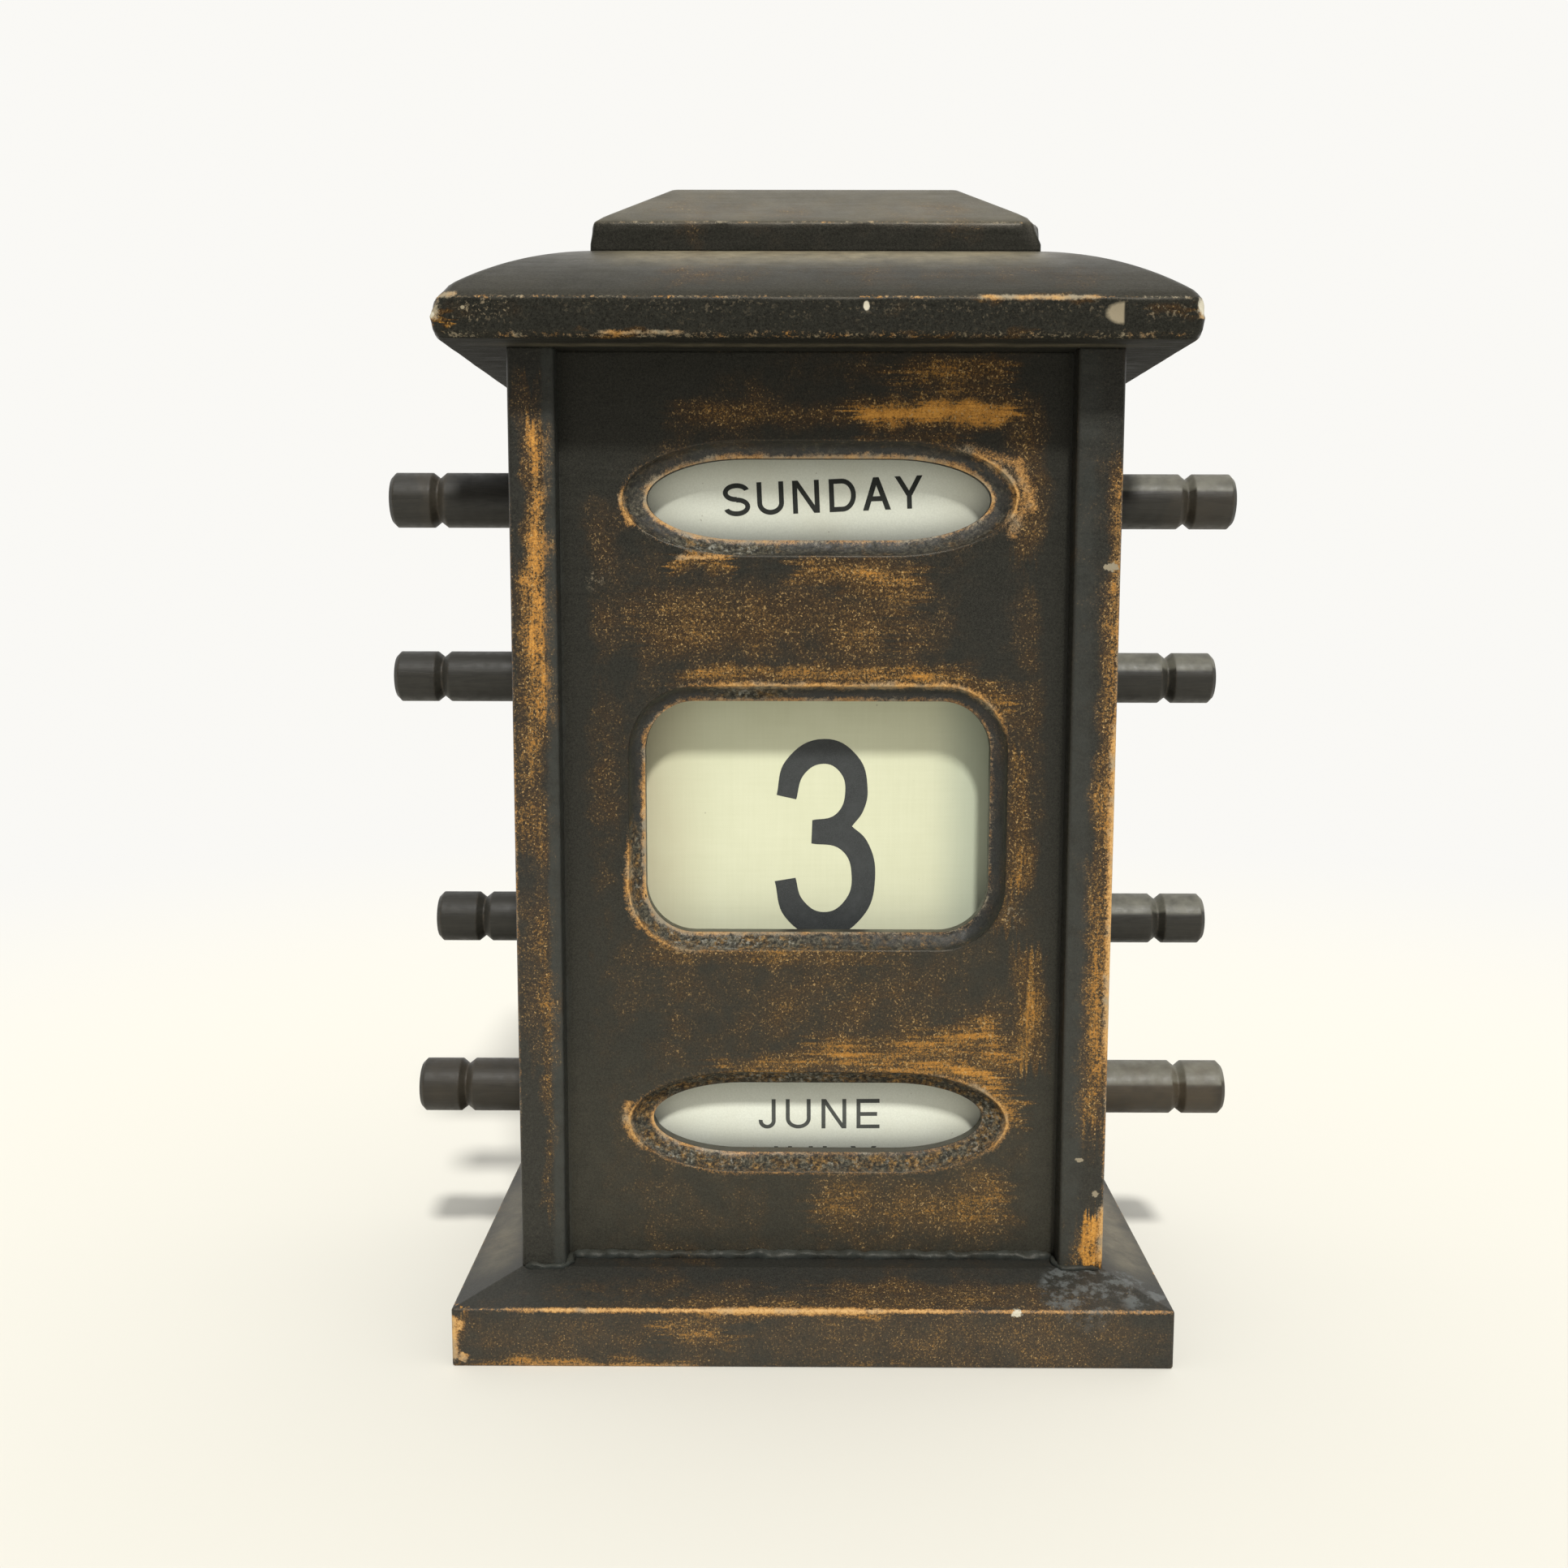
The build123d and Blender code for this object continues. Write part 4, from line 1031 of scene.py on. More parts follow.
def band_cloth():
    """Cream cotton tape: a fine plain weave, slubs, a browner left end, painted shade at its right end and
    small specks.
    """
    material, g, shader = new_material("band cloth")
    coords = g.object_mm()
    parts = g.parts(coords)

    def threads(axis, pitch, uneven):
        drift = g.times(g.noise(coords, 0.15, 3.0), uneven)
        return g.math("SINE", g.times(g.add(parts[axis], drift), 2 * pi / pitch))

    weave = g.times(threads("X", 0.5, 1.2), threads("Z", 0.5, 1.0))
    slub_up = g.noise(g.vector("MULTIPLY", coords, (1.6, 1.0, 0.06)), 1.0, 3.0, 0.6)
    slub_over = g.noise(g.vector("MULTIPLY", coords, (0.06, 1.0, 1.6)), 1.0, 3.0, 0.6)
    slub = g.add(slub_up, slub_over)
    cloud = g.noise(coords, 0.09, 3.0, 0.55)
    tone = g.add(g.times(g.remap(slub, 0.7, 1.3), 0.28), g.times(cloud, 0.72))
    colour = g.ramp(tone, [(0.1, (0.630, 0.640, 0.445)), (0.9, (0.705, 0.715, 0.520))])
    colour = g.mix(g.remap(weave, -1.0, 1.0, 0.0, 0.03), colour, (0.50, 0.52, 0.36, 1))
    # darker and browner towards the left end
    left = g.times(g.remap(parts["X"], -20, -39, smooth=True), g.remap(cloud, 0.3, 0.7, 0.6, 1.0))
    colour = g.mix(g.times(left, 0.62), colour, (0.47, 0.40, 0.25, 1))
    # painted shade from the right side of the window, cool grey towards the band's right end
    right = g.remap(parts["X"], 25, 37, smooth=True)
    colour = g.mix(g.times(right, 0.55), colour, (0.36, 0.42, 0.335, 1))
    speck = g.remap(g.noise(coords, 0.8, 1.0, 0.4), 0.79, 0.81)
    g.feed(shader.inputs["Base Color"], g.mix(g.times(speck, 0.45), colour, (0.24, 0.20, 0.13, 1)))
    shader.inputs["Roughness"].default_value = 0.85
    shader.inputs["Sheen Weight"].default_value = 0.05
    add_relief(g, shader, g.add(g.times(weave, 0.25), slub), 0.25, 0.06)
    return material


def printing_ink(name, colour, fade):
    """Dark ink that has thinned a little over the fibres below it."""
    material, g, shader = new_material(name)
    coords = g.object_mm()
    worn = g.remap(g.noise(coords, 0.35, 4.0, 0.6), 0.4, 0.75, 0.0, fade)
    grain = g.remap(g.noise(coords, 4.0, 3.0, 0.6), 0.35, 0.7, 0.0, fade)
    thin = g.math("MAXIMUM", worn, grain)
    pale = tuple(min(1.0, c * 3.0 + 0.03) for c in colour)
    g.feed(shader.inputs["Base Color"], g.mix(thin, (*colour, 1), (*pale, 1)))
    g.feed(shader.inputs["Roughness"], g.remap(grain, 0.0, 1.0, 0.5, 0.7))
    shader.inputs["Specular IOR Level"].default_value = 0.3
    return material


def turned_metal(name, bright, dull, roughness):
    """Metal with drawn lines, tarnish blotches and softened edges."""
    material, g, shader = new_material(name)
    coords = g.object_mm()
    lines = g.noise(g.vector("MULTIPLY", coords, (0.3, 3.0, 3.0)), 2.0, 4.0, 0.6)
    tarnish = g.remap(g.noise(coords, 0.5, 4.0, 0.6), 0.4, 0.7)
    g.feed(shader.inputs["Base Color"], g.mix(tarnish, (*bright, 1), (*dull, 1)))
    g.feed(shader.inputs["Roughness"], g.add(g.times(lines, 0.25), roughness))
    shader.inputs["Metallic"].default_value = 1.0
    eased = g.node("ShaderNodeBevel", {"Radius": 0.15 * MM}, samples=4).outputs["Normal"]
    add_relief(g, shader, lines, 0.2, 0.03, eased)
    return material


shaft_stain = stained_shaft()
softwood = bare_softwood()
paper = label_paper()
cloth = band_cloth()
weekday_ink = printing_ink("weekday ink", (0.016, 0.018, 0.015), 0.2)
month_ink = printing_ink("month ink", (0.052, 0.056, 0.050), 0.3)
date_ink = printing_ink("date ink", (0.034, 0.037, 0.037), 0.25)
steel = turned_metal("drawn steel", (0.58, 0.58, 0.58), (0.30, 0.28, 0.26), 0.25)
brass = turned_metal("dull brass", (0.72, 0.52, 0.24), (0.34, 0.22, 0.10), 0.30)

FINISHES = {
    "base_board": base_paint, "side_board_left": left_stile_paint, "side_board_right": right_stile_paint,
    "front_panel": panel_paint, "cornice_board": cornice_paint, "crown_block": crown_paint,
    "back_panel": back_paint(), "back_cleat_left": softwood, "back_cleat_right": softwood,
    "guide_rod_upper": steel, "guide_rod_lower": steel, "date_band": cloth,
    "back_screws": brass, "base_screws": steel,
}
for part in ("weekday", "month"):
    FINISHES[f"{part}_shaft"] = shaft_stain
    FINISHES[f"{part}_drum"] = softwood
    FINISHES[f"{part}_label"] = paper
for place in ("upper", "lower"):
    FINISHES[f"date_{place}_shaft"] = shaft_stain
    FINISHES[f"date_{place}_roll"] = cloth
    FINISHES[f"date_{place}_flange_left"] = softwood
    FINISHES[f"date_{place}_flange_right"] = softwood
for name, finish in FINISHES.items():
    if not nodes[name].material_slots:
        nodes[name].data.materials.append(finish)
    for slot in nodes[name].material_slots:
        slot.material = finish


# ---------------------------------------------------------------------------
# Worn pieces of the case
# ---------------------------------------------------------------------------
SMOOTH_UP_TO = radians(38)


def mesh_object(name, mesh, finish):
    """A mesh as a piece of the scene, in one finish."""
    piece = bpy.data.objects.new(name, mesh)
    bpy.context.scene.collection.objects.link(piece)
    mesh.materials.clear()
    mesh.materials.append(finish)
    return piece


def loop_mesh(name, rings, finish, capped):
    """Joins closed rings of points (mm) into a solid: capped at both ends, or closed into a hoop."""
    bm = bmesh.new()
    loops = [[bm.verts.new(Vector(p) * MM) for p in ring] for ring in rings]
    following = loops[1:] if capped else loops[1:] + loops[:1]
    for low, high in zip(loops, following):
        for i in range(len(low)):
            j = (i + 1) % len(low)
            bm.faces.new((low[i], low[j], high[j], high[i]))
    if capped:
        bm.faces.new(loops[0])
        bm.faces.new(loops[-1])
    bmesh.ops.recalc_face_normals(bm, faces=bm.faces)
    mesh = bpy.data.meshes.new(name)
    bm.to_mesh(mesh)
    bm.free()
    mesh.shade_smooth()
    mesh.set_sharp_from_angle(angle=SMOOTH_UP_TO)
    return mesh_object(name, mesh, finish)


def lumps(x, y, z, pitch, octaves=3):
    """Smooth random height, about -1 to 1, its bumps a pitch apart."""
    total, share = 0.0, 1.0
    for octave in range(octaves):
        place = Vector((x, y, z)) * (2 ** octave / pitch)
        total += share * noise.noise(place)
        share *= 0.5
    return total * 1.3


CORNER_TURNS = range(0, 91, 18)
RING_STEP = 1.1


def rectangle_ring(half_x, half_y, corner):
    """Points round a rectangle with rounded corners, with the same count for any inset."""
    arcs = []
    for sx, sy, start in ((1, -1, -90), (1, 1, 0), (-1, 1, 90), (-1, -1, 180)):
        cx, cy = sx * (half_x - corner), sy * (half_y - corner)
        turns = [radians(start + turn) for turn in CORNER_TURNS]
        arcs.append([(cx + corner * cos(a), cy + corner * sin(a)) for a in turns])
    counts = (ceil(2 * CORNICE_HIGH.y / RING_STEP), ceil(2 * CORNICE_HIGH.x / RING_STEP))
    ring = []
    for index, (arc, following) in enumerate(zip(arcs, arcs[1:] + arcs[:1])):
        count = counts[index % 2]
        (x0, y0), (x1, y1) = arc[-1], following[0]
        ring += arc
        ring += [(x0 + (x1 - x0) * i / count, y0 + (y1 - y0) * i / count) for i in range(1, count)]
    return ring


# Dents pressed or broken out of an edge: centre, reach, depth.
CORNICE_DENTS = [
    ((-79, -53, 229.0), 7, 2.0), ((-79, -52, 216.5), 6, 1.0), ((79, -53, 228.2), 5, 1.0),
    ((79, -53, 216.5), 6, 1.0), ((60.2, -52.6, 223.0), 2.3, 0.5), ((9.9, -52.5, 224.3), 1.1, 0.5),
    ((78.6, -52.0, 224.4), 2.6, 0.9), ((79, 53, 227), 6, 1.4), ((-79, 53, 227), 5, 1.2),
    ((-46, -52.4, 224.4), 0.8, 0.3),
]
CROWN_DENTS = [
    ((50.0, -23.5, 248.2), 5.5, 2.0), ((-49.5, -23.5, 247.6), 5, 0.8), ((49.5, 23.5, 247.5), 4, 0.7),
]
UNEVEN_WEAR = (0.45, 0.55)      # its least share, and the share that varies
WEAR_PITCH = 9.0
WAVE_PITCH = 12.0
WAVE_DEPTH = 0.030


def worn_board(name, profile, half_x, half_y, dents, finish):
    """A board whose arrises have softened unevenly: profile rows of inset, height, corner and wear."""
    middle = Vector((0, 0, (profile[0][1] + profile[-1][1]) / 2))
    rings = []
    for inset, z, corner, wear in profile:
        ring = []
        for x, y in rectangle_ring(half_x - inset, half_y - inset, corner):
            worn = wear * max(0.0, UNEVEN_WEAR[0] + UNEVEN_WEAR[1] * lumps(x, y, z, WEAR_PITCH))
            wave = max(0.0, WAVE_DEPTH * lumps(x, y, z, WAVE_PITCH))
            if abs(y) / half_y > abs(x) / half_x:
                inward = Vector((0, -1 if y > 0 else 1, 0))
            else:
                inward = Vector((-1 if x > 0 else 1, 0, 0))
            point = Vector((x, y, z)) + inward * (worn + wave)
            for centre, reach, depth in dents:
                near = 1 - (point - Vector(centre)).length_squared / reach ** 2
                if near > 0:
                    point += (middle - point).normalized() * depth * near
            ring.append(point)
        rings.append(ring)
    return loop_mesh(name, rings, finish, capped=True)


def cornice_profile():
    """Soffit rounding, upright edge and dome of the cornice, from the soffit up."""
    low, arris = CORNICE_LOW.z, CORNICE_ARRIS_Z
    rise = CORNICE_HIGH.z - arris
    chord = hypot(DOME_RUN, rise)
    rows = [(6.0, low, 0.8, 0.0), (3.0, low, 1.0, 0.0)]
    for turn in range(0, 91, 15):
        a = radians(turn)
        inset, lift = SOFFIT_RADIUS * (1 - sin(a)), SOFFIT_RADIUS * (1 - cos(a))
        rows.append((inset, low + lift, 1.5, 0.16 * sin(2 * a)))
    rows += [(0, arris - drop, 1.7, 0.03) for drop in (5.2, 4.0, 3.0, 2.2, 1.5, 0.9)]
    rows += [(0.0, arris - 0.45, 1.8, 0.10), (0.10, arris - 0.12, 1.8, 0.22), (0.38, arris + 0.10, 1.8, 0.12)]
    dome_rows = 24
    for i in range(1, dome_rows + 1):
        u = i / dome_rows
        swell = DOME_BULGE * 4 * u * (1 - u)
        inset = DOME_RUN * u - swell * rise / chord
        rows.append((inset, arris + rise * u + swell * DOME_RUN / chord, 1.6, 0.0))
    return [row for row in rows if row[0] >= 0]


def crown_profile():
    """Upright edge and slopes of the crown block up to its narrow deck."""
    low, arris, top = CROWN_LOW.z, CROWN_ARRIS_Z, CROWN_HIGH.z
    run = CROWN_HIGH.y - CROWN_DECK_HALF_D
    rows = [(0, low, 0.7, 0.0), (0, low + 1.5, 0.7, 0.03), (0, arris - 2.0, 0.8, 0.05)]
    rows += [(0, arris - 0.7, 0.8, 0.08), (0.08, arris - 0.2, 0.9, 0.2), (0.5, arris + 0.18, 0.9, 0.14)]
    slope_rows = 8
    for i in range(1, slope_rows + 1):
        u = i / slope_rows
        rows.append((0.5 + (run - 1.0) * u, arris + 0.18 + (top - arris - 0.45) * u, 0.9, 0.05))
    rows.append((run + 0.4, top, 0.6, 0.0))
    return rows


cornice = worn_board(
    "worn_cornice", cornice_profile(), CORNICE_HIGH.x, CORNICE_HIGH.y, CORNICE_DENTS, cornice_paint,
)
crown = worn_board(
    "worn_crown", crown_profile(), CROWN_HIGH.x, CROWN_HIGH.y, CROWN_DENTS, crown_paint,
)
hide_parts("cornice_board")
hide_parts("crown_block")
for piece in (cornice, crown):
    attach(piece, "case")


MOULDING_STEP = 0.55
SKIN_TURNS = [i / 10 for i in range(11)]
SKIN_BACK_TURNS = (0.85, 0.5, 0.15)
SKIN_LEAST = 0.02       # thinnest skin over the wood
SKIN_BACK = (0.5, 0.4)  # how far its hidden back lies out from the hollow, and deeper


def outline_points(window, share_x, share_z):
    """Points round a window's outline, grown outwards by these amounts."""
    flat_x, flat_z = window.half_w - window.run_x, window.half_h - window.run_z
    rx, rz = window.run_x + share_x, window.run_z + share_z
    count = ceil(pi / 2 * max(window.run_x, window.run_z) / MOULDING_STEP)
    points = []
    for sx, sz, start in ((1, 1, 0), (-1, 1, 90), (-1, -1, 180), (1, -1, 270)):
        arc = [radians(start + 90 * i / count) for i in range(count + 1)]
        points += [(sx * flat_x + rx * cos(a), sz * flat_z + rz * sin(a)) for a in arc]
        if sx * sz > 0:
            runs = max(1, ceil(2 * flat_x / MOULDING_STEP))
            points += [(sx * flat_x * (1 - 2 * i / runs), sz * (flat_z + rz)) for i in range(1, runs)]
        elif flat_z > 0:
            runs = max(1, ceil(2 * flat_z / MOULDING_STEP))
            points += [(sx * (flat_x + rx), sz * flat_z * (1 - 2 * i / runs)) for i in range(1, runs)]
    return [(window.x + x, window.z + z) for x, z in points]


def hollow_ring(window, turn):
    """The outline and the depth of a window's hollow, from its brim at 0 to its lip at 1."""
    angle = turn * pi / 2
    outline = outline_points(window, window.side_cove * cos(angle), COVE_W * cos(angle))
    return outline, COVE_DEPTH * sin(angle)


def clamped(value, middle, half):
    """A value kept within half a width of the middle."""
    return middle + max(-1, min(1, (value - middle) / half)) * half


def worn_moulding(name, window, body, coarse, finish):
    """A thin uneven skin of old filler and paint in the hollow round a window."""
    rings = []
    for turn in SKIN_TURNS:
        outline, depth = hollow_ring(window, turn)
        tapered = sin(pi * turn)
        ring = []
        for x, z in outline:
            rough = body + coarse * (0.5 + 0.5 * lumps(x, depth * 2, z, 2.6, 4))
            lift = SKIN_LEAST + tapered * max(0.0, rough)
            cx = clamped(x, window.x, window.half_w)
            cz = clamped(z, window.z, window.half_h)
            towards = Vector((cx - x, 0, cz - z))
            inward = towards.normalized() if towards.length > 0.01 else Vector()
            point = Vector((x, PANEL_Y + depth, z))
            point += inward * lift * cos(turn * pi / 2) + Vector((0, -lift * sin(turn * pi / 2), 0))
            point.y = max(point.y, PANEL_Y)
            ring.append(point)
        rings.append(ring)
    out, deeper = SKIN_BACK
    for turn in SKIN_BACK_TURNS:
        outline, depth = hollow_ring(window, turn)
        ring = []
        for x, z in outline:
            away = Vector((x - window.x, 0, z - window.z)).normalized() * out
            ring.append(Vector((x + away.x, PANEL_Y + depth + deeper, z + away.z)))
        rings.append(ring)
    piece = loop_mesh(name, rings, finish, capped=False)
    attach(piece, "case")


worn_moulding("weekday_moulding_skin", WEEKDAY_WINDOW, 0.02, 0.22, weekday_moulding_paint)
worn_moulding("date_moulding_skin", DATE_WINDOW, 0.02, 0.25, date_moulding_paint)
worn_moulding("month_moulding_skin", MONTH_WINDOW, 0.12, 0.85, month_moulding_paint)


BEAD_STEP = 0.8
BEAD_SIDES = 14
BEAD_PITCH = 2.4


def filler_bead(name, points, radius, rough, finish):
    """An uneven bead of painted filler along a joint, tapered at its ends."""
    path = [Vector(p) for p in points]
    centres = []
    for a, b in zip(path, path[1:]):
        steps = ceil((b - a).length / BEAD_STEP)
        centres += [a.lerp(b, i / steps) for i in range(steps)]
    centres.append(path[-1])
    rings = []
    for index, centre in enumerate(centres):
        ahead = centres[min(index + 1, len(centres) - 1)] - centres[max(index - 1, 0)]
        side = ahead.cross(Vector((0, 0, 1))).normalized()
        up = side.cross(ahead).normalized()
        end = min(index, len(centres) - 1 - index)
        taper = min(1.0, 0.3 + end * 0.35)
        ring = []
        for i in range(BEAD_SIDES):
            angle = 2 * pi * i / BEAD_SIDES
            out = side * cos(angle) + up * sin(angle)
            uneven = 1 + rough * lumps(*(centre + out * radius), BEAD_PITCH)
            ring.append(centre + out * (radius * taper * uneven))
        rings.append(ring)
    piece = loop_mesh(name, rings, finish, capped=True)
    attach(piece, "case")


FOOT_Z = BASE_HIGH.z
inside = BODY_HALF_W - STILE_W
filler_bead(
    "panel_foot_filler",
    [(-inside + 0.3, PANEL_Y - 0.1, FOOT_Z + 0.3), (inside - 0.3, PANEL_Y - 0.1, FOOT_Z + 0.3)],
    1.25, 0.34, filler_paint,
)
filler_bead(
    "left_stile_filler",
    [(-BODY_HALF_W + 0.8, BODY_Y - 0.1, FOOT_Z), (-inside - 1, BODY_Y - 0.1, FOOT_Z + 0.1),
     (-inside + 0.6, BODY_Y + 2, FOOT_Z + 0.4), (-inside + 0.8, PANEL_Y - 0.3, FOOT_Z + 0.8)],
    0.95, 0.55, filler_paint,
)
filler_bead(
    "right_stile_filler",
    [(BODY_HALF_W - 0.8, BODY_Y - 0.1, FOOT_Z), (inside + 1, BODY_Y - 0.1, FOOT_Z),
     (inside - 0.4, BODY_Y + 2, FOOT_Z + 0.2), (inside - 0.6, PANEL_Y - 0.3, FOOT_Z + 0.5)],
    0.75, 0.45, filler_paint,
)


# ---------------------------------------------------------------------------
# Lettering
# ---------------------------------------------------------------------------
INK_LIFT = 0.03     # ink face above the paper
INK_SINK = 0.05     # its underside, inside the paper
ROOMY_WORD = 7      # letters in the longest word that keeps its full gaps
WRAP_STEP = 0.6     # height of the strips in which a word bends round its drum


def bar(x0, z0, x1, z1):
    """An upright or level stroke."""
    return [(x0, z0), (x1, z0), (x1, z1), (x0, z1)]


def leg(foot, head, width, low=0.0, high=1.0):
    """A slanted stroke, its ends cut level."""
    return [(foot, low), (foot + width, low), (head + width, high), (head, high)]


def bow(cx, cz, rx, rz, start, end, t):
    """A curved stroke along part of an ellipse, from one angle round to another."""
    count = max(6, int(abs(end - start) / 9))
    turns = [radians(start + (end - start) * i / count) for i in range(count + 1)]
    outer = [(cx + rx * cos(a), cz + rz * sin(a)) for a in turns]
    inner = [(cx + (rx - t) * cos(a), cz + (rz - t) * sin(a)) for a in reversed(turns)]
    return outer + inner


def letter_strokes(letter, t):
    """Width and strokes of a plain capital, one unit high with strokes t thick."""
    w, s, m = 0.82, t * 1.15, 0.5 - t / 2
    stem = bar(0, 0, t, 1)
    cup = [bar(0, 0.34, t, 1), bar(w - t, 0.34, w, 1), bow(w / 2, 0.36, w / 2, 0.36, 180, 360, t)]
    bowl = [bar(0, 1 - t, 0.54, 1), bar(0, 0.44, 0.54, 0.44 + t), bow(0.52, 0.72, 0.28, 0.28, -90, 90, t)]
    upper = bow(w / 2, 0.7175, w / 2, 0.2825, 18, 272, t)
    lower = bow(w / 2, 0.2825, w / 2, 0.2825, 92, -162, t)
    shapes = {
        "A": (0.86, [leg(0, 0.43 - s / 2, s), leg(0.86 - s, 0.43 - s / 2, s),
                     bar(0.18, 0.27, 0.68, 0.27 + t)]),
        "B": (0.78, [stem, bar(0, 1 - t, 0.50, 1), bar(0, m, 0.52, m + t), bar(0, 0, 0.52, t),
                     bow(0.48, 0.7175, 0.27, 0.2825, -90, 90, t),
                     bow(0.50, 0.2825, 0.28, 0.2825, -90, 90, t)]),
        "C": (0.84, [bow(0.44, 0.5, 0.44, 0.5, 42, 318, t)]),
        "D": (0.82, [stem, bar(0, 1 - t, 0.42, 1), bar(0, 0, 0.42, t),
                     bow(0.40, 0.5, 0.42, 0.5, -90, 90, t)]),
        "E": (0.76, [stem, bar(0, 1 - t, 0.76, 1), bar(0, m, 0.68, m + t), bar(0, 0, 0.76, t)]),
        "F": (0.72, [stem, bar(0, 1 - t, 0.72, 1), bar(0, 0.44, 0.62, 0.44 + t)]),
        "G": (0.88, [bow(0.45, 0.5, 0.45, 0.5, 42, 350, t), bar(0.50, 0.42, 0.89, 0.42 + t)]),
        "H": (w, [stem, bar(w - t, 0, w, 1), bar(0, m, w, m + t)]),
        "I": (t, [stem]),
        "J": (0.56, [bar(0.56 - t, 0.26, 0.56, 1), bow(0.28, 0.28, 0.28, 0.28, 172, 362, t)]),
        "L": (0.68, [stem, bar(0, 0, 0.68, t)]),
        "M": (0.98, [stem, bar(0.98 - t, 0, 0.98, 1),
                     leg(0.49 - s / 2, 0, s), leg(0.49 - s / 2, 0.98 - s, s)]),
        "N": (w, [stem, bar(w - t, 0, w, 1), leg(w - s, 0, s)]),
        "O": (0.90, [bow(0.45, 0.5, 0.45, 0.5, 0, 180, t), bow(0.45, 0.5, 0.45, 0.5, 179, 361, t)]),
        "P": (0.80, [stem] + bowl),
        "R": (0.82, [stem] + bowl + [leg(0.82 - s, 0.42, s, 0, 0.50)]),
        "S": (w, [upper, lower]),
        "T": (0.78, [bar(0, 1 - t, 0.78, 1), bar(0.39 - t / 2, 0, 0.39 + t / 2, 1)]),
        "U": (w, cup),
        "V": (0.84, [leg(0.42 - s / 2, 0, s), leg(0.42 - s / 2, 0.84 - s, s)]),
        "W": (1.16, [leg(0.30 - s / 2, 0, s), leg(0.30 - s / 2, 0.58 - s / 2, s),
                     leg(0.86 - s / 2, 0.58 - s / 2, s), leg(0.86 - s / 2, 1.16 - s, s)]),
        "Y": (0.86, [leg(0.43 - s / 2, 0, s, 0.40, 1), leg(0.43 - s / 2, 0.86 - s, s, 0.40, 1),
                     bar(0.43 - t / 2, 0, 0.43 + t / 2, 0.46)]),
    }
    return shapes[letter]


def inked_solid(bm):
    """Gives a flat sheet in the XY plane an underside and sides."""
    bmesh.ops.remove_doubles(bm, verts=bm.verts, dist=1e-4)
    bmesh.ops.recalc_face_normals(bm, faces=bm.faces)
    grown = bmesh.ops.extrude_face_region(bm, geom=list(bm.faces))
    for vertex in (v for v in grown["geom"] if isinstance(v, bmesh.types.BMVert)):
        vertex.co.z = -INK_LIFT - INK_SINK
    bmesh.ops.recalc_face_normals(bm, faces=bm.faces)


def stroke_solid(outline, cap_height):
    """One stroke as a thin solid, in millimetres."""
    bm = bmesh.new()
    bm.faces.new([bm.verts.new((x * cap_height, z * cap_height, 0)) for x, z in outline])
    inked_solid(bm)
    mesh = bpy.data.meshes.new("stroke")
    bm.to_mesh(mesh)
    bm.free()
    return mesh_object("stroke", mesh, paper)


def letter_mesh(letter, cap_height, thickness):
    """A capital as one solid, its strokes joined, and its width."""
    width, outlines = letter_strokes(letter, thickness)
    first, *others = [stroke_solid(outline, cap_height) for outline in outlines]
    for other in others:
        join = first.modifiers.new("join", "BOOLEAN")
        join.operation = "UNION"
        join.solver = "EXACT"
        join.object = other
    bpy.context.view_layer.update()
    joined = bpy.data.meshes.new_from_object(first.evaluated_get(bpy.context.evaluated_depsgraph_get()))
    for stroke in (first, *others):
        bpy.data.objects.remove(stroke)
    return joined, width * cap_height


# Pairs of capitals set closer or wider than the rest, in cap heights.
KERNING = {
    "DA": -0.05, "AY": -0.11, "ND": 0.05, "UN": 0.02, "SU": -0.03, "AT": -0.10, "TU": -0.03, "LY": -0.10,
}
Lettering = namedtuple("Lettering", "cap_height thickness gap tilt shift drop ink")
WEEKDAY_LETTERING = Lettering(7.2, 0.150, 1.80, 2.6, 1.9, 0.0, weekday_ink)
MONTH_LETTERING = Lettering(7.0, 0.130, 2.35, 0.4, 1.7, 0.42, month_ink)


def flat_word(word, letters, style, drop):
    """A word laid flat, its middle at the origin or a drop below it. Long words are set closer."""
    sheet = bmesh.new()
    closer = min(1.0, ROOMY_WORD / len(word)) ** 2
    pairs = [word[i:i + 2] for i in range(len(word) - 1)]
    gaps = [style.gap * closer + style.cap_height * KERNING.get(pair, 0.0) for pair in pairs] + [0.0]
    x = -(sum(letters[c][1] for c in word) + sum(gaps)) / 2
    for c, space in zip(word, gaps):
        mesh, width = letters[c]
        placed = mesh.copy()
        placed.transform(Matrix.Translation((x, -style.cap_height / 2 - drop, 0)))
        sheet.from_mesh(placed)
        bpy.data.meshes.remove(placed)
        x += width + space
    sheet.transform(Matrix.Rotation(radians(style.tilt), 4, "Z"))
    return sheet


def wrap_word(sheet, turn, axis_z, shift):
    """Bends a flat word round its drum, at a turn from the window."""
    for step in range(-12, 13):
        cut = list(sheet.verts) + list(sheet.edges) + list(sheet.faces)
        bmesh.ops.bisect_plane(sheet, geom=cut, plane_co=(0, step * WRAP_STEP, 0), plane_no=(0, 1, 0))
    for vertex in sheet.verts:
        across, up, lift = vertex.co
        angle = turn + up / LABEL_R
        radius = LABEL_R + INK_LIFT + lift
        y, z = SHAFT_Y - radius * cos(angle), axis_z + radius * sin(angle)
        vertex.co = Vector((across + shift, y, z)) * MM


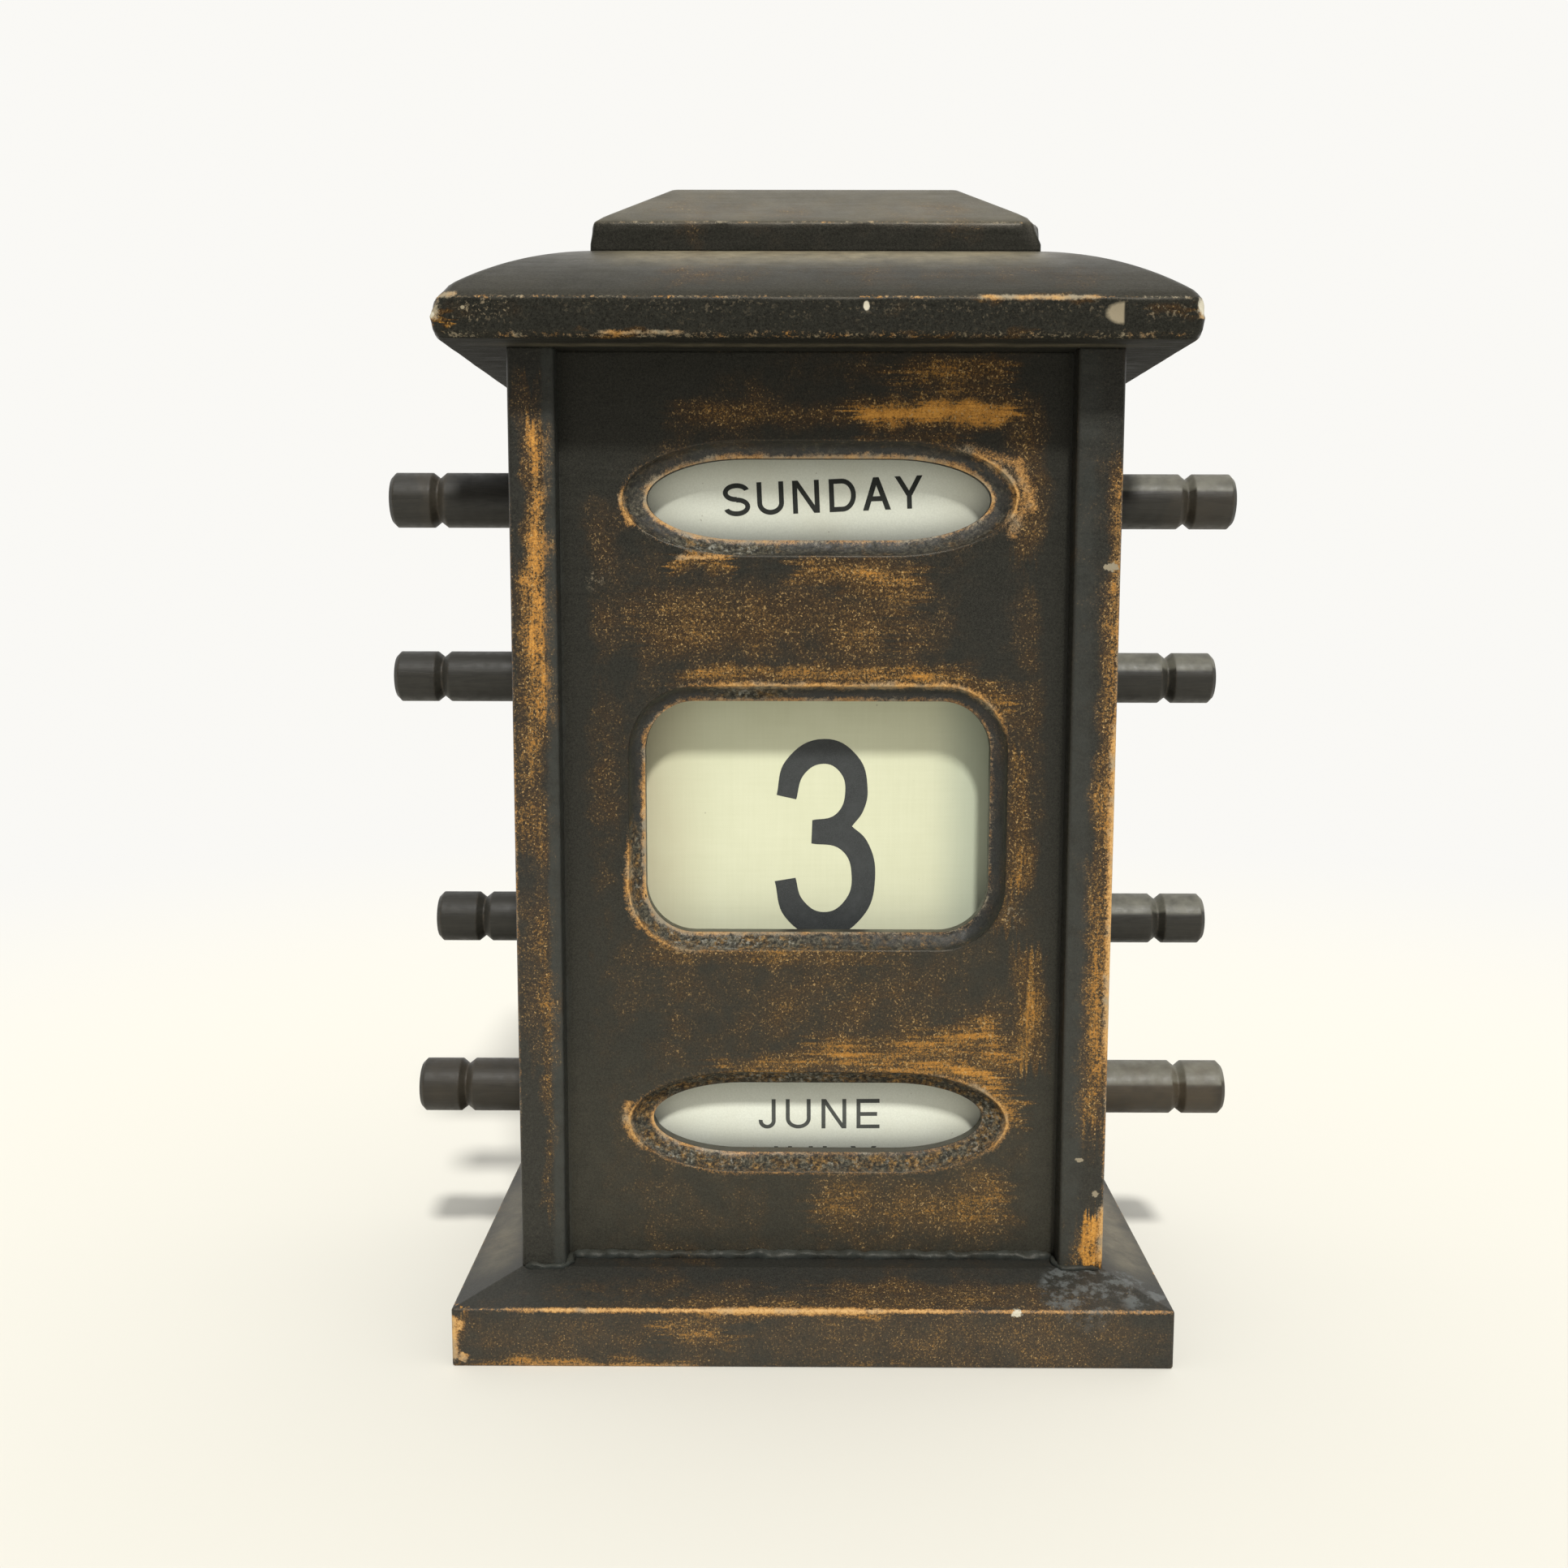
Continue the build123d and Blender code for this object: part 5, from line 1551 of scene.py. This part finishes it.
def drum_words(name, body, words, style):
    """Words wrapped round a drum label, the first at the window and the rest a drop lower than even."""
    axis_z = SHAFT_Z[body.split("_")[0]]
    capitals = sorted(set("".join(words)))
    letters = {c: letter_mesh(c, style.cap_height, style.thickness) for c in capitals}
    bm = bmesh.new()
    for index, word in enumerate(words):
        sheet = flat_word(word, letters, style, style.drop if index else 0.0)
        wrap_word(sheet, -index * 2 * pi / len(words), axis_z, style.shift)
        wrapped = bpy.data.meshes.new("wrapped")
        sheet.to_mesh(wrapped)
        sheet.free()
        bm.from_mesh(wrapped)
        bpy.data.meshes.remove(wrapped)
    mesh = bpy.data.meshes.new(name)
    bm.to_mesh(mesh)
    bm.free()
    piece = mesh_object(name, mesh, style.ink)
    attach(piece, body)


WEEKDAYS = ["SUNDAY", "MONDAY", "TUESDAY", "WEDNESDAY", "THURSDAY", "FRIDAY", "SATURDAY"]
MONTHS = [
    "JUNE", "JULY", "AUGUST", "SEPTEMBER", "OCTOBER", "NOVEMBER",
    "DECEMBER", "JANUARY", "FEBRUARY", "MARCH", "APRIL", "MAY",
]
drum_words("weekday_names", "weekday_roller", WEEKDAYS, WEEKDAY_LETTERING)
drum_words("month_names", "month_roller", MONTHS, MONTH_LETTERING)

# The day number, as an outline from its upper left end round clockwise; True marks a corner.
THREE = [
    (-8.3, 121.1, True), (-6.2, 129.0, False), (2.5, 134.0, False), (10.2, 130.0, False),
    (12.5, 122.7, False), (11.6, 117.6, False), (9.0, 113.9, True), (12.4, 110.6, False),
    (14.4, 101.8, False), (11.4, 92.6, False), (2.7, 88.0, False), (-6.2, 92.6, False),
    (-8.7, 101.1, True), (-3.9, 101.9, True), (-2.2, 96.7, False), (2.6, 93.9, False),
    (7.3, 96.4, False), (9.0, 102.4, False), (6.6, 108.4, False), (-0.3, 109.9, True),
    (-0.1, 115.3, True), (5.3, 116.7, False), (7.4, 122.2, False), (6.0, 126.6, False),
    (2.4, 128.3, False), (-1.9, 126.0, False), (-3.8, 120.1, True),
]


def day_number(name, outline, finish):
    """The printed number on the face of the band behind the date window."""
    curve = bpy.data.curves.new("number", "CURVE")
    curve.dimensions = "2D"
    curve.fill_mode = "BOTH"
    curve.resolution_u = 8
    spline = curve.splines.new("BEZIER")
    spline.bezier_points.add(len(outline) - 1)
    spline.use_cyclic_u = True
    for knot, (x, z, corner) in zip(spline.bezier_points, outline):
        knot.co = (x, z, 0)
        knot.handle_left_type = knot.handle_right_type = "VECTOR" if corner else "AUTO"
    holder = bpy.data.objects.new("number", curve)
    bpy.context.scene.collection.objects.link(holder)
    bpy.context.view_layer.update()
    flat = bpy.data.meshes.new_from_object(holder.evaluated_get(bpy.context.evaluated_depsgraph_get()))
    bpy.data.objects.remove(holder)
    bm = bmesh.new()
    bm.from_mesh(flat)
    inked_solid(bm)
    for vertex in bm.verts:
        x, z, lift = vertex.co
        vertex.co = Vector((x, BAND_Y - INK_LIFT - lift, z)) * MM
    bmesh.ops.recalc_face_normals(bm, faces=bm.faces)
    bm.to_mesh(flat)
    bm.free()
    flat.name = name
    piece = mesh_object(name, flat, finish)
    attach(piece, "case")


day_number("date_three", THREE, date_ink)


# ---------------------------------------------------------------------------
# Floor, light and camera
# ---------------------------------------------------------------------------
WHITE = (0.955, 0.945, 0.915)
FLOOR_RADIUS = 6.0
FADE = (0.22, 0.75)     # distances at which the floor starts and ends turning into the background
KEY_STRENGTH = 2.9
KEY_SPREAD = radians(5.6)
KEY_HEIGHT, KEY_SIDE = radians(48.5), radians(9.0)
LENS_MM, SENSOR_MM = 37.166, 36.0
EYE = (-0.00500, -0.38600, 0.16803)
EYE_YAW, EYE_PITCH, EYE_ROLL = radians(-0.250), radians(6.895), radians(0.129)


def make_floor():
    """A wide pale floor that fades into the white background away from the calendar."""
    bm = bmesh.new()
    bmesh.ops.create_circle(bm, cap_ends=True, segments=96, radius=FLOOR_RADIUS)
    mesh = bpy.data.meshes.new("floor")
    bm.to_mesh(mesh)
    bm.free()
    material, g, shader = new_material("pale floor")
    coords = g.node("ShaderNodeTexCoord").outputs["Object"]
    shader.inputs["Base Color"].default_value = (0.70, 0.68, 0.615, 1)
    shader.inputs["Roughness"].default_value = 0.9
    shader.inputs["Specular IOR Level"].default_value = 0.1
    glow = g.node("ShaderNodeEmission", {"Color": (*WHITE, 1), "Strength": 1.0}).outputs[0]
    path = g.node("ShaderNodeLightPath").outputs
    seen = g.math("MAXIMUM", path["Is Camera Ray"], path["Is Glossy Ray"])
    seen = g.math("MAXIMUM", seen, path["Is Transmission Ray"])
    far = g.times(g.remap(g.length(coords), *FADE, smooth=True), seen)
    blend = g.node("ShaderNodeMixShader", {0: far, 1: shader.outputs[0], 2: glow})
    output = material.node_tree.nodes["Material Output"]
    g.feed(output.inputs["Surface"], blend.outputs[0])
    mesh_object("floor", mesh, material)


def make_world():
    """White surroundings whose light is strongest from above and weakest from the front."""
    world = bpy.data.worlds.new("studio")
    world.use_nodes = True
    bpy.context.scene.world = world
    g = Graph(world.node_tree)
    parts = g.parts(g.node("ShaderNodeTexCoord").outputs["Generated"])
    back = g.remap(parts["Y"], -1.0, 0.5, 0.30, 0.75, smooth=True)
    up = g.remap(parts["Z"], -0.1, 0.9, 0.0, 0.25, smooth=True)
    strength = g.add(back, up, g.times(parts["X"], 0.15))
    path = g.node("ShaderNodeLightPath").outputs
    # polished faces see the white backdrop, but only a dim room in front of the windows
    behind, above = g.remap(parts["Y"], -0.35, 0.15, 0.08, 1.0), g.remap(parts["Z"], 0.55, 0.95)
    bright = g.math("MAXIMUM", behind, above)
    strength = g.remap(path["Is Glossy Ray"], 0.0, 1.0, strength, bright)
    seen = g.math("MAXIMUM", path["Is Camera Ray"], path["Is Transmission Ray"])
    tone = (0.985, 0.985, 0.97, 1)
    fill = g.node("ShaderNodeBackground", {"Color": tone, "Strength": strength}).outputs[0]
    shown = g.node("ShaderNodeBackground", {"Color": (*WHITE, 1), "Strength": 1.0}).outputs[0]
    blend = g.node("ShaderNodeMixShader", {0: seen, 1: fill, 2: shown})
    g.feed(world.node_tree.nodes["World Output"].inputs["Surface"], blend.outputs[0])


def aim(obj, direction, roll=0.0):
    """Turns a lamp or camera so that it looks along a direction."""
    turn = direction.to_track_quat("-Z", "Y").to_matrix() @ Matrix.Rotation(roll, 3, "Z")
    obj.rotation_euler = turn.to_euler()


def make_key_light():
    """A soft lamp high in front, a little to the right."""
    lamp = bpy.data.lights.new("key", "SUN")
    lamp.energy = KEY_STRENGTH
    lamp.angle = KEY_SPREAD
    lamp.color = (1.0, 0.99, 0.955)
    key = bpy.data.objects.new("key", lamp)
    bpy.context.scene.collection.objects.link(key)
    level = cos(KEY_HEIGHT)
    source = Vector((sin(KEY_SIDE) * level, -cos(KEY_SIDE) * level, sin(KEY_HEIGHT)))
    aim(key, -source)


def make_camera():
    """A camera close in front of the calendar, looking slightly down on it."""
    lens = bpy.data.cameras.new("camera")
    lens.lens = LENS_MM
    lens.sensor_width = SENSOR_MM
    camera = bpy.data.objects.new("camera", lens)
    bpy.context.scene.collection.objects.link(camera)
    camera.location = EYE
    level = cos(EYE_PITCH)
    aim(camera, Vector((sin(EYE_YAW) * level, cos(EYE_YAW) * level, -sin(EYE_PITCH))), EYE_ROLL)
    bpy.context.scene.camera = camera


make_floor()
make_world()
make_key_light()
make_camera()
bpy.context.scene.view_settings.view_transform = "Standard"
